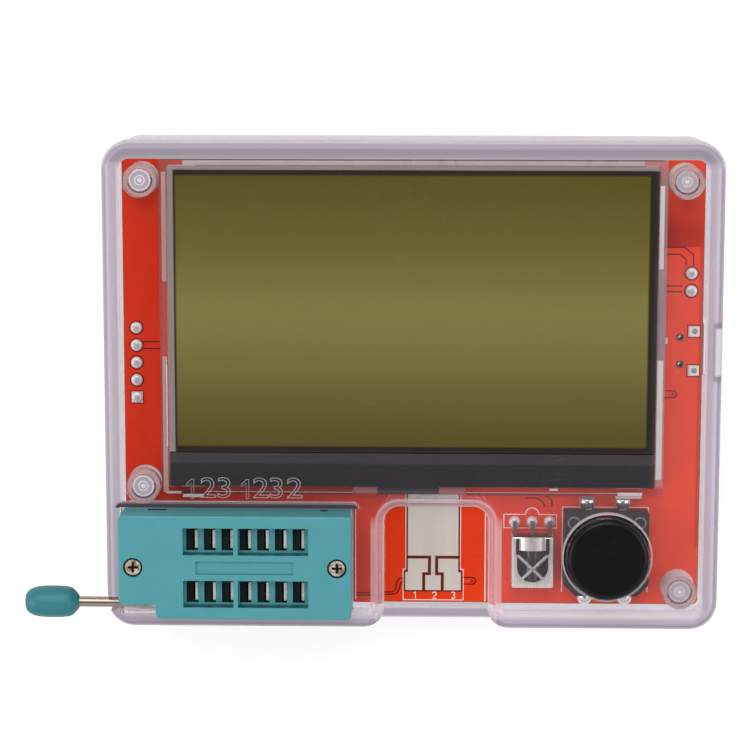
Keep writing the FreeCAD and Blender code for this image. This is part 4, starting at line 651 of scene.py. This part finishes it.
def cutBelow(height, fill):
    bpy.ops.mesh.bisect(plane_co=(0, 0, height), plane_no=(0, 0, 1), clear_inner=True, use_fill=fill)


def applyModifier(piece, kind, **settings):
    pickOnly([piece])
    modifier = piece.modifiers.new("Shaper", kind)
    for name, value in settings.items():
        setattr(modifier, name, value)
    bpy.ops.object.modifier_apply(modifier="Shaper")


def drawLine(route, height, width, flat=0.3, closed=False):
    # one point drawn out from corner to corner, then given a low rounded section
    deselect()
    bpy.ops.mesh.primitive_plane_add(size=mm, location=(route[0][0] * mm, route[0][1] * mm, height))
    intoEdit("VERT")
    bpy.ops.mesh.merge(type="CENTER")
    for (x0, y0), (x1, y1) in zip(route, route[1:]):
        pull(x1 - x0, y1 - y0, 0)
    leaveEdit()
    bpy.ops.object.convert(target="CURVE")
    curve = bpy.context.object.data
    curve.splines[0].use_cyclic_u = closed
    curve.bevel_depth = width / 2 * mm
    curve.bevel_resolution = 1
    curve.use_fill_caps = not closed
    bpy.ops.object.convert(target="MESH")
    line = bpy.context.object
    line.scale[2] = flat
    bakePlace()
    return line


def arc(x, y, radius, start, stop, steps):
    turns = [math.radians(start + (stop - start) * step / steps) for step in range(steps + 1)]
    return [(x + radius * math.cos(turn), y + radius * math.sin(turn)) for turn in turns]


def drawArcs(places, radius, sweep, height, width, flat, closed=True):
    return [drawLine(arc(x, y, radius, *sweep), height, width, flat, closed) for x, y in places]


def arcPiece(name, finishName, look, height, closed=True):
    # a piece made of rings or arcs
    shape = (height, look["width"], look["flat"], closed)
    arcs = drawArcs(look["places"], look["radius"], look["sweep"], *shape)
    finishPiece(arcs, name, "case", grainFinish(finishName, look))


# white print on the board
silkPrint = {
    "width": 0.16, "colour": (240, 226, 220), "rough": (0.45, 0.6), "scale": 900.0,
    "routes": [
        [(-41.2, -17.72), (-8.2, -17.72), (-8.2, -32.2)],
        [(-28.8, -16.2), (31.1, -16.2)],
        [(13.4, -19.35)] + arc(17.5, -19.35, 0.97, 180, 0, 10)
        + [(21.07, -19.35), (21.07, -21.36), (13.4, -21.36), (13.4, -19.35)],
        [(21.9, -30.8), (21.9, -18.2), (34.36, -18.2), (34.36, -30.8)],
        [(-0.85, -16.6), (-0.85, -27.7), (-1.25, -27.7), (-1.25, -32.3), (7.55, -32.3), (7.55, -27.7),
         (7.1, -27.7), (7.1, -16.6)],
        [(10.72, -19.2), (10.72, -32.45)], [(-3.98, -19.2), (-3.98, -28.5)],
    ],
    "digits": [("1", 0.49, -31.6), ("2", 3.33, -31.6), ("3", 6.06, -31.6)], "size": 0.98,
    "strokes": {"1": [(-0.2, 0.3), (0.06, 0.5), (0.06, -0.5)],
                "2": arc(0.0, 0.22, 0.28, 165, -30, 10) + [(-0.3, -0.5), (0.32, -0.5)],
                "3": arc(0.0, 0.25, 0.25, 150, -80, 10) + arc(0.0, -0.24, 0.26, 80, -150, 10)},
}
size = silkPrint["size"]
routes = list(silkPrint["routes"])
for word, x, y in silkPrint["digits"]:
    routes.append([(x + across * size, y + up * size) for across, up in silkPrint["strokes"][word]])
lines = [drawLine(route, boardTop, silkPrint["width"]) for route in routes]
finishPiece(lines, "silkPrint", "case", grainFinish("silkPrintFinish", silkPrint))

# dark gaps round the tracks, vias and joints
trackGaps = {
    "width": 0.26, "flat": 0.2, "sink": 0.01, "colour": (112, 16, 6), "rough": (0.5, 0.65), "scale": 700.0,
    "shine": 0.1,
    "routes": [
        [(35.93, 19.76), (38.87, 19.76), (40.18, 18.66), (40.2, 17.1)],
        [(35.95, 18.74), (38.25, 18.74), (39.1, 18.0), (39.1, 17.1)],
        [(36.03, 14.19), (38.6, 14.19)], [(36.03, 13.35), (38.6, 13.35)],
        [(36.2, -1.03), (37.6, -1.03)] + arc(37.6, -1.53, 0.5, 90, -90, 8) + [(36.2, -2.03)],
        [(-38.94, 5.79), (-36.5, 5.79)], [(-38.94, 4.79), (-36.5, 4.79)],
        [(-1.0, -29.1), (-1.75, -29.1), (-2.15, -29.6), (-2.4, -30.8), (-2.85, -31.15), (-8.1, -31.2)],
        [(-1.0, -29.6), (-1.5, -29.65), (-1.8, -30.6), (-2.2, -31.35), (-2.85, -31.5), (-8.1, -31.55)],
        [(7.3, -28.9), (8.85, -28.9)] + arc(8.85, -29.4, 0.5, 90, -90, 8) + [(7.3, -29.9)],
        [(17.45, -15.9), (18.5, -16.3), (19.8, -16.7), (20.35, -17.3), (20.35, -18.2)],
        [(16.6, -16.9), (18.1, -16.9), (18.95, -17.4), (19.4, -18.2)],
    ],
    "vias": [(37.6, -1.53), (8.85, -29.4)], "viaRadius": 0.16, "viaSweep": (0, 330, 11), "viaWidth": 0.12,
    "viaFlat": 0.3,
    "joints": [(-39.87, 7.82), (-39.87, 5.28), (-39.87, 2.74), (-39.87, 0.2), (39.94, 16.0), (39.94, 13.46)],
    "jointRadius": 0.96, "jointSweep": (0, 345, 23),
    "squares": [(-39.87, -2.34, 0.92), (40.42, 7.63, 0.9), (40.42, 1.93, 0.9)],
}
sunk = (boardTop - trackGaps["sink"] * mm, trackGaps["width"], trackGaps["flat"])
gaps = [drawLine(route, *sunk) for route in trackGaps["routes"]]
gaps += drawArcs(trackGaps["vias"], trackGaps["viaRadius"], trackGaps["viaSweep"], boardTop,
                 trackGaps["viaWidth"], trackGaps["viaFlat"])
gaps += drawArcs(trackGaps["joints"], trackGaps["jointRadius"], trackGaps["jointSweep"], *sunk)
gaps += [drawLine([(x - r, y - r), (x + r, y - r), (x + r, y + r), (x - r, y + r)], *sunk, closed=True)
         for x, y, r in trackGaps["squares"]]
finishPiece(gaps, "trackGaps", "case", grainFinish("trackGapFinish", trackGaps))

# outlined digits cut into the face above the socket's columns
faceDigits = {"row": [("1", -31.65), ("2", -29.15), ("3", -26.84), ("1", -23.75), ("2", -21.6), ("3", -19.35),
                      ("2", -16.75)], "y": -14.7, "size": 4.2, "line": 0.055, "wide": 1.16, "flat": 0.5,
              "one": [(0.04, -1.4), (0.42, -1.4), (0.42, 1.4), (0.1, 1.4), (-0.6, 0.72), (-0.6, 0.34),
                      (0.04, 0.86)],
              "colour": (196, 188, 188), "rough": (0.4, 0.6), "scale": 900.0, "alpha": 0.46}
digits = []
for word, x in faceDigits["row"]:
    if word == "1":
        route = [(x + across, faceDigits["y"] + up) for across, up in faceDigits["one"]]
        digits.append(drawLine(route, faceTop, faceDigits["line"] * 2, faceDigits["flat"], closed=True))
        continue
    deselect()
    bpy.ops.object.text_add(location=(x * mm, faceDigits["y"] * mm, faceTop))
    text = bpy.context.object.data
    text.body = word
    text.size = faceDigits["size"] * mm
    text.align_x = "CENTER"
    text.align_y = "CENTER"
    text.fill_mode = "NONE"
    text.bevel_depth = faceDigits["line"] * mm
    text.bevel_resolution = 0
    text.resolution_u = 4
    bpy.ops.object.convert(target="MESH")
    bpy.context.object.scale = (faceDigits["wide"], 1.0, faceDigits["flat"])
    bakePlace()
    digits.append(bpy.context.object)
finishPiece(digits, "faceDigits", "case", grainFinish("faceDigitFinish", faceDigits))
print("print, tracks and digits drawn")

# lever grip: rings drawn out along the rod, then smoothed
leverGrip = {"axis": (-31.8, 18.1), "ends": (-56.0, -48.13), "sides": 20, "inset": 0.04, "levels": 2,
             "rings": [(0.0, 0.9), (0.02, 1.35), (0.08, 1.83), (0.2, 2.22), (0.36, 2.34), (0.55, 2.35),
                       (0.74, 2.3), (0.84, 2.14), (0.87, 2.02), (0.94, 1.5), (0.985, 1.0), (1.0, 0.8)],
             "colour": (48, 126, 135), "rough": (0.34, 0.48), "shade": 0.03, "scale": 260.0, "shine": 0.35,
             "smooth": 60}
axisY, axisZ = leverGrip["axis"]
startX, stopX = leverGrip["ends"]
rings = leverGrip["rings"]
grip = addShape(bpy.ops.mesh.primitive_circle_add, (startX, axisY, axisZ), (0, math.radians(90), 0),
                vertices=leverGrip["sides"], radius=rings[0][1] * mm, fill_type="NGON")
intoEdit()
length = stopX - startX
for (share0, radius0), (share1, radius1) in zip(rings, rings[1:]):
    pull((share1 - share0) * length, 0, 0)
    middle = ((startX + share1 * length) * mm, axisY * mm, axisZ * mm)
    grow = radius1 / radius0
    bpy.ops.transform.resize(value=(1, grow, grow), center_override=middle)
bpy.ops.mesh.inset(thickness=leverGrip["inset"] * mm)
leaveEdit()
applyModifier(grip, "SUBSURF", levels=leverGrip["levels"], render_levels=leverGrip["levels"])
gripFinish = grainFinish("leverGripFinish", leverGrip)
finishPiece([grip], "leverGrip", "lever", gripFinish, leverGrip["smooth"])
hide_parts("lever_knob")
print("lever grip made")


# how far a normal leans for a face to count as facing that way
facingLean = 0.9


def facesUp(middle, normal):
    return normal.z > facingLean


def pickFaces(piece, test):
    # chooses faces by their middle and normal, in edit mode
    shape = bmesh.from_edit_mesh(piece.data)
    for face in shape.faces:
        face.select_set(test(face.calc_center_median(), face.normal))
    shape.select_flush_mode()
    bmesh.update_edit_mesh(piece.data)


def pickEdges(piece, test):
    shape = bmesh.from_edit_mesh(piece.data)
    for edge in shape.edges:
        edge.select_set(all(test(corner.co) for corner in edge.verts))
    bmesh.update_edit_mesh(piece.data)


def bevelBlock(left, right, low, high, bottom, top, rounding):
    middle = ((left + right) / 2, (low + high) / 2, (bottom + top) / 2)
    reach = ((right - left) * mm, (high - low) * mm, (top - bottom) * mm)
    block = addShape(bpy.ops.mesh.primitive_cube_add, middle, stretch=reach, size=1.0)
    intoEdit()
    bpy.ops.mesh.bevel(offset=rounding * mm, segments=2)
    leaveEdit()
    return block


def blockPiece(name, finishName, look):
    # a piece made of bevelled blocks
    blocks = [bevelBlock(*block, look["round"]) for block in look["blocks"]]
    finishPiece(blocks, name, "case", grainFinish(finishName, look))


def copyTo(piece, x, y):
    twin = piece.copy()
    twin.data = piece.data.copy()
    bpy.context.collection.objects.link(twin)
    twin.location = (x * mm, y * mm, 0)
    pickOnly([twin])
    bakePlace()
    return twin


# dark laminate that shows round the test pads
landGaps = {"blocks": [(-0.88, 7.12, -28.15, -16.65, base, base + 0.012),
                       (-1.18, 7.42, -31.06, -28.0, base, base + 0.0144)], "round": 0.003,
            "colour": (104, 26, 12), "rough": (0.5, 0.65), "scale": 700.0, "shine": 0.15}
blockPiece("landGaps", "landGapFinish", landGaps)

# flexible tail: the film comes out under the tape, bends over the rim and goes down to the board
tailFilm = {"sides": (-8.5, 7.7), "start": 0.01, "thick": 0.06, "smooth": 50,
            "route": [(-14.5, 16.99), (-15.2, 17.0), (-15.5, 16.95), (-15.72, 16.8), (-15.86, 16.55),
                      (-15.9, 16.2), (-15.9, 13.9), (-15.8, 13.68), (-15.3, 13.66)]}
left, right = tailFilm["sides"]
startY, startZ = tailFilm["route"][0]
film = addShape(bpy.ops.mesh.primitive_plane_add, ((left + right) / 2, startY, startZ),
                stretch=((right - left) * mm, tailFilm["start"] * mm, 1.0), size=1.0)
intoEdit("EDGE")
pickEdges(film, lambda corner: corner.y < startY * mm)
for (y0, z0), (y1, z1) in zip(tailFilm["route"], tailFilm["route"][1:]):
    pull(0, y1 - y0, z1 - z0)
leaveEdit()
applyModifier(film, "SOLIDIFY", thickness=tailFilm["thick"] * mm, offset=0.0)
finishPiece([film], "tailFilm", "case", finishes["flex_film"], tailFilm["smooth"])
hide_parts("display_tail")

# receiver's tin can: folded plate, arched window, barrel hood and crossed bars
irCan = {"sides": (14.45, 20.55), "ends": (-29.45, -21.85), "top": 17.5, "plate": 0.25, "fold": 0.3,
         "lip": 0.02, "window": (15.25, 19.75, -26.3, -23.85), "cut": 1.0, "cutRound": 0.02,
         "archDeep": 2.02, "archSides": 48,
         "slots": [(15.08, 15.6, -24.4, -22.1), (19.4, 19.92, -24.4, -22.1)],
         "hoodRadius": 3.44, "hoodSides": 64, "hoodEnds": (-23.85, -21.9), "hoodRise": 0.45, "hoodSunk": 0.1,
         "bars": [[(15.35, -24.6), (17.5, -26.65), (19.3, -28.35)],
                  [(19.65, -24.6), (17.5, -26.65), (15.7, -28.35)]],
         "bar": 0.42, "barFlat": 0.6, "barSunk": 0.05, "smooth": 40}
top = irCan["top"]
can = bevelBlock(*irCan["sides"], *irCan["ends"], base - irCan["fold"], top, irCan["fold"])
intoEdit()
pickFaces(can, lambda middle, normal: middle.z < (base + irCan["lip"]) * mm or normal.y > facingLean)
bpy.ops.mesh.delete(type="FACE")
bpy.ops.mesh.select_all(action="SELECT")
cutBelow(boardTop, False)
leaveEdit()
applyModifier(can, "SOLIDIFY", thickness=irCan["plate"] * mm, offset=-1.0)
cutters = [bevelBlock(*opening, top - irCan["cut"], top + irCan["cut"], irCan["cutRound"])
           for opening in [irCan["window"]] + irCan["slots"]]
left, right, low, high = irCan["window"]
arch = addShape(bpy.ops.mesh.primitive_cylinder_add, ((left + right) / 2, low, top),
                vertices=irCan["archSides"], radius=(right - left) / 2 * mm, depth=irCan["archDeep"] * mm)
cutters.insert(1, arch)
for cutter in cutters:
    applyModifier(can, "BOOLEAN", object=cutter)
    bpy.data.objects.remove(cutter)
near, far = irCan["hoodEnds"]
hoodMiddle = (sum(irCan["sides"]) / 2, (near + far) / 2, top + irCan["hoodRise"] - irCan["hoodRadius"])
hood = addShape(bpy.ops.mesh.primitive_cylinder_add, hoodMiddle, (math.radians(90), 0, 0),
                vertices=irCan["hoodSides"], radius=irCan["hoodRadius"] * mm, depth=(far - near) * mm)
intoEdit()
cutBelow((top - irCan["hoodSunk"]) * mm, True)
leaveEdit()
barLevel = (top - irCan["barSunk"]) * mm
bars = [drawLine(route, barLevel, irCan["bar"], irCan["barFlat"]) for route in irCan["bars"]]
finishPiece([can, hood] + bars, "irCan", "case", finishes["shield_tin"], irCan["smooth"])
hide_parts("ir_shield")
print("receiver can made")

# round blobs of solder over the switch's pins, each with its pin's end
solderBlob = {"places": [(25.44, -17.22), (30.57, -17.2), (25.2, -31.3), (31.0, -31.3)], "radius": 1.25,
              "centre": 0.4, "segments": 24, "rings": 16, "crest": 0.93, "pinRise": 0.12,
              "pinShrink": (0.8, 0.8, 0.5), "colour": (222, 219, 215), "rough": (0.14, 0.24), "metal": 0.85,
              "scale": 700.0, "smooth": 70}
blobFinish = grainFinish("solderBlobFinish", solderBlob)
blob = addShape(bpy.ops.mesh.primitive_uv_sphere_add, (0, 0, base + solderBlob["centre"]),
                segments=solderBlob["segments"], ring_count=solderBlob["rings"],
                radius=solderBlob["radius"] * mm)
intoEdit()
cutBelow(boardTop, True)
crest = boardTop + (solderBlob["centre"] + solderBlob["radius"] * solderBlob["crest"]) * mm
pickFaces(blob, lambda middle, normal: middle.z > crest)
pull(0, 0, solderBlob["pinRise"])
bpy.ops.transform.resize(value=solderBlob["pinShrink"], center_override=(0, 0, crest))
leaveEdit()
settle(blob, solderBlob["smooth"])
for number, (x, y) in enumerate(solderBlob["places"]):
    dress(copyTo(blob, x, y), "solderBlob%d" % number, "case", blobFinish)
bpy.data.objects.remove(blob)

# square lands round the header's last joint and the charging socket's legs
padLands = {"squares": [(-39.87, -2.34, 1.62, 0.3), (40.42, 7.6, 1.55, 0.35), (40.42, 1.95, 1.55, 0.35)],
            "above": 0.01, "thick": 0.05}
lands = []
for x, y, width, border in padLands["squares"]:
    land = addShape(bpy.ops.mesh.primitive_plane_add, (x, y, base + padLands["above"]), size=width * mm)
    intoEdit()
    bpy.ops.mesh.inset(thickness=border * mm)
    bpy.ops.mesh.delete(type="FACE")
    leaveEdit()
    applyModifier(land, "SOLIDIFY", thickness=padLands["thick"] * mm, offset=0.0)
    lands.append(land)
finishPiece(lands, "padLands", "case", finishes["tinned_land"])

# ends of the locating pegs, with pale and grey rings that are painted highlights and reflections
pegEnd = {"places": clearCase["pegs"], "height": 17.01, "thick": 0.01, "radius": 1.52, "sides": 40,
          "rings": [0.2, 0.55, 0.2, 0.22], "nub": 0.008, "pale": {"colour": (236, 232, 233), "shade": 0.04},
          "grey": {"colour": (178, 170, 173)}, "look": {"rough": (0.25, 0.4), "scale": 600.0}}
disc = addShape(bpy.ops.mesh.primitive_cylinder_add, (0, 0, pegEnd["height"]), vertices=pegEnd["sides"],
                radius=pegEnd["radius"] * mm, depth=pegEnd["thick"] * mm)
disc.data.materials.append(grainFinish("pegPaleFinish", {**pegEnd["look"], **pegEnd["pale"]}))
disc.data.materials.append(grainFinish("pegGreyFinish", {**pegEnd["look"], **pegEnd["grey"]}))
intoEdit()
pickFaces(disc, facesUp)
for number, step in enumerate(pegEnd["rings"]):
    bpy.ops.mesh.inset(thickness=step * mm)
    disc.active_material_index = 1 - number % 2
    bpy.ops.object.material_slot_assign()
pull(0, 0, pegEnd["nub"])
leaveEdit()
settle(disc)
for number, (x, y) in enumerate(pegEnd["places"]):
    twin = copyTo(disc, x, y)
    twin.name = "pegEnd%d" % number
    twin.data.name = twin.name
    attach(twin, "case")
bpy.data.objects.remove(disc)

# sleeves that hold the pegs, and the shade on their near sides
pegSleeves = {"places": pegEnd["places"], "radius": 2.03, "sweep": (0, 350, 35), "height": 16.85,
              "width": 0.66, "flat": 0.06, "colour": (226, 200, 198), "rough": (0.3, 0.45), "scale": 300.0,
              "alpha": 0.34}
arcPiece("pegSleeves", "pegSleeveFinish", pegSleeves, pegSleeves["height"] * mm)
pegShades = {"places": pegEnd["places"], "radius": 1.65, "sweep": (-165, 15, 16), "height": 16.9,
             "width": 0.32, "flat": 0.3, "colour": (84, 66, 70), "rough": (0.4, 0.55), "scale": 600.0,
             "alpha": 0.8}
arcPiece("pegShades", "pegShadeFinish", pegShades, pegShades["height"] * mm, closed=False)
print("solder, lands and peg ends made")

# lugs of the display's rim, and strips of painted light and shade along it
rimLugs = {"blocks": [(-33.2, -30.2, -16.75, -15.87, 13.62, 15.4), (29.45, 33.2, -16.6, -15.87, 13.62, 15.4),
                      (36.07, 36.6, 5.9, 6.8, 13.62, 14.6)], "round": 0.12,
           "colour": (226, 217, 214), "rough": (0.3, 0.45), "scale": 300.0}
blockPiece("rimLugs", "rimLugFinish", rimLugs)
stripLook = {"rough": (0.25, 0.4), "scale": 90.0, "stretch": (0.6, 0.2, 1.0), "shade": 0.08}
rimStrips = {
    # painted highlights along the rim's right side and foot, with a painted glint
    "rimEdges": {"colour": (210, 203, 198), "round": 0.03, "blocks": [
        (34.95, 35.8, -13.4, 3.9, 17.28, 17.36), (34.95, 35.6, 17.0, 28.8, 17.28, 17.36),
        (19.8, 21.0, -15.05, -14.78, 17.27, 17.4), (29.6, 33.1, -15.8, -15.3, 17.27, 17.34)]},
    "rimBars": {"colour": (184, 171, 165), "round": 0.03, "blocks": [
        (-32.6, 32.7, 31.6, 32.24, 17.28, 17.36), (-32.6, -30.7, 31.4, 31.62, 17.28, 17.35),
        (-35.4, -33.2, -15.8, -15.45, 17.28, 17.35),
        (-29.5, -8.7, -15.52, -15.43, 17.28, 17.33), (7.9, 32.4, -15.46, -15.37, 17.28, 17.33)]},
    "rimSeam": {"colour": (92, 82, 82), "round": 0.02,
                "blocks": [(-35.6, 35.4, 32.24, 32.42, 17.28, 17.36)]},
    # painted reflection of the red board along the rim's upper left side
    "rimTint": {"colour": (186, 138, 133), "round": 0.03,
                "blocks": [(-35.66, -35.0, 15.0, 30.6, 17.28, 17.36)]},
    # painted reflection of the red board along the rim's lower left side
    "rimBlush": {"colour": (184, 140, 136), "round": 0.03,
                 "blocks": [(-35.75, -35.05, -15.6, 4.2, 17.28, 17.36)]},
    # painted highlight on the rim's left edge
    "rimGlow": {"colour": (232, 210, 206), "round": 0.02,
                "blocks": [(-35.2, -35.06, -9.0, 3.0, 17.3, 17.37)]},
    "rimShade": {"colour": (142, 126, 130), "round": 0.02, "blocks": [
        (34.95, 35.75, 3.9, 17.0, 17.28, 17.34), (-30.7, 32.7, 31.42, 31.58, 17.28, 17.33),
        (-35.4, 35.4, 32.42, 32.62, 17.28, 17.34)]},
}
for name, strip in rimStrips.items():
    blockPiece(name, name + "Finish", {**stripLook, **strip})

# charging socket: leg ends in their lands, the rims of its peg holes, and the light that they catch
legEnds = {"places": [(40.55, 7.63), (40.55, 1.93)], "radius": 0.42, "sides": 20, "thick": 0.16, "rim": 0.16,
           "rise": 0.06, "colour": (156, 149, 132), "rough": (0.35, 0.5), "metal": 0.3, "scale": 800.0,
           "smooth": 40}
leg = addShape(bpy.ops.mesh.primitive_cylinder_add, (0, 0, base + legEnds["thick"] / 2),
               vertices=legEnds["sides"], radius=legEnds["radius"] * mm, depth=legEnds["thick"] * mm)
intoEdit()
pickFaces(leg, facesUp)
bpy.ops.mesh.inset(thickness=legEnds["rim"] * mm, depth=legEnds["rise"] * mm)
leaveEdit()
legs = [copyTo(leg, x, y) for x, y in legEnds["places"]]
bpy.data.objects.remove(leg)
legFinish = grainFinish("legEndFinish", legEnds)
finishPiece(legs, "legEnds", "case", legFinish, legEnds["smooth"])

pegHoles = {"places": [(38.48, 6.73), (38.48, 2.83)], "radius": 0.5, "sweep": (0, 340, 17), "width": 0.22,
            "flat": 0.3, "colour": (104, 62, 66), "rough": (0.35, 0.5), "scale": 800.0}
arcPiece("pegHoles", "pegHoleFinish", pegHoles, boardTop)
pegGlints = {"places": pegHoles["places"], "radius": 0.2, "sweep": (70, 200, 6), "sunk": 0.1, "width": 0.2,
             "flat": 0.4, "colour": (232, 224, 226), "rough": (0.3, 0.4), "scale": 800.0}
glintLevel = boardTop - pegGlints["sunk"] * mm
arcPiece("pegGlints", "pegGlintFinish", pegGlints, glintLevel, closed=False)

# pressed rims of the upper rivets that hold the switch's plate
rivetRims = {"places": [(23.38, -19.72), (32.88, -19.72)], "radius": 0.8, "sweep": (0, 345, 23), "sunk": 0.1,
             "width": 0.2, "flat": 0.6, "colour": (176, 171, 168), "rough": (0.16, 0.28), "metal": 0.5,
             "scale": 700.0}
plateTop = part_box("switch_plate")[1][2]
arcPiece("rivetRims", "rivetRimFinish", rivetRims, plateTop - rivetRims["sunk"] * mm)

# dark gaps at the socket's seam
seamGaps = {"blocks": [(-37.9, -35.1, -17.82, -17.73, 19.5, 20.25),
                       (-13.1, -12.0, -17.82, -17.73, 19.5, 20.25)], "round": 0.02,
            "colour": (14, 16, 17), "rough": (0.5, 0.7), "scale": 500.0, "shine": 0.2}
blockPiece("seamGaps", "seamGapFinish", seamGaps)
print("rim and seam details made")

# camera at the photograph's place
cameraSet = {"place": (0.00361, 0.05702, 0.37676), "turn": (8.77, -1.36, -0.28), "lens": 121.33,
             "sensor": 36.0, "near": 0.01}
cameraData = bpy.data.cameras.new("photoCamera")
cameraData.lens = cameraSet["lens"]
cameraData.sensor_width = cameraSet["sensor"]
cameraData.clip_start = cameraSet["near"]
camera = bpy.data.objects.new("photoCamera", cameraData)
bpy.context.collection.objects.link(camera)
lookTurn = Euler([math.radians(angle) for angle in cameraSet["turn"]]).to_matrix()
camera.matrix_world = Matrix.Translation(cameraSet["place"]) @ lookTurn.transposed().to_4x4()
bpy.context.scene.camera = camera


def seenDirectly(tree):
    # 1 for what the camera sees, also in gloss and through clear plastic
    path = addNode(tree, "LightPath")
    direct = calc(tree, "MAXIMUM", path["Is Camera Ray"], path["Is Glossy Ray"])
    return path, calc(tree, "MAXIMUM", direct, path["Is Transmission Ray"])


# white room: seen at strength 1, dark overhead in gloss as under a lens hood, and half of the soft light
roomLight = {"white": (1, 1, 1, 1), "seen": 1.0, "soft": 0.52, "horizon": (0.5, 0.5, 0.52, 1),
             "rise": (0.05, 0.6), "overhead": (0.1, 0.1, 0.11, 1), "crown": (0.86, 0.96)}
world = bpy.data.worlds.new("whiteRoom")
world.use_nodes = True
bpy.context.scene.world = world
tree = world.node_tree
tree.nodes.clear()
path, direct = seenDirectly(tree)
aim = addNode(tree, "SeparateXYZ", {0: addNode(tree, "TexCoord")["Generated"]})["Z"]
rise, crown = [scaleRange(tree, aim, *roomLight[stretch]) for stretch in ("rise", "crown")]
glossTone = mixColour(tree, rise, roomLight["horizon"], roomLight["white"])
glossTone = mixColour(tree, crown, glossTone, roomLight["overhead"])
seenTone = mixColour(tree, path["Is Glossy Ray"], roomLight["white"], glossTone)
seen = addNode(tree, "Background", {"Color": seenTone, "Strength": roomLight["seen"]})[0]
soft = addNode(tree, "Background", {"Color": roomLight["white"], "Strength": roomLight["soft"]})[0]
mix = addNode(tree, "MixShader", {0: direct, 1: soft, 2: seen})[0]
tree.links.new(mix, tree.nodes.new("ShaderNodeOutputWorld").inputs["Surface"])

softLamps = [
    {"name": "topLamp", "place": (-0.1, 0.52, 0.7), "size": 0.55, "power": 3.0},
    {"name": "leftLamp", "place": (-0.65, -0.1, 0.45), "size": 0.45, "power": 1.45},
    {"name": "rightLamp", "place": (0.65, 0.0, 0.45), "size": 0.45, "power": 1.25},
]
lampAim = Vector((0, 0, 0.01))
for lamp in softLamps:
    lampData = bpy.data.lights.new(lamp["name"], "AREA")
    lampData.size = lamp["size"]
    lampData.energy = lamp["power"]
    lampObject = bpy.data.objects.new(lamp["name"], lampData)
    bpy.context.collection.objects.link(lampObject)
    lampObject.location = lamp["place"]
    lampObject.rotation_euler = (lampAim - Vector(lamp["place"])).to_track_quat("-Z", "Y").to_euler()

# pale floor that keeps a soft shadow
floorSet = {"size": 6.0, "drop": 0.0002, "glow": 0.64, "white": (0.5, 0.5, 0.5, 1)}
deselect()
bpy.ops.mesh.primitive_plane_add(size=floorSet["size"], location=(0, 0, -floorSet["drop"]))
floor = bpy.context.object
floor.name = "paleFloor"
finish, tree, surface = bareFinish("paleFloorFinish")
path, direct = seenDirectly(tree)
lit = multiply(tree, direct, floorSet["glow"])
glow = addNode(tree, "Emission", {"Color": roomLight["white"], "Strength": lit})[0]
matt = addNode(tree, "BsdfDiffuse", {"Color": floorSet["white"]})[0]
tree.links.new(addNode(tree, "AddShader", {0: glow, 1: matt})[0], surface)
floor.data.materials.append(finish)

bpy.context.scene.view_settings.view_transform = "Standard"
print("camera, light and floor set")
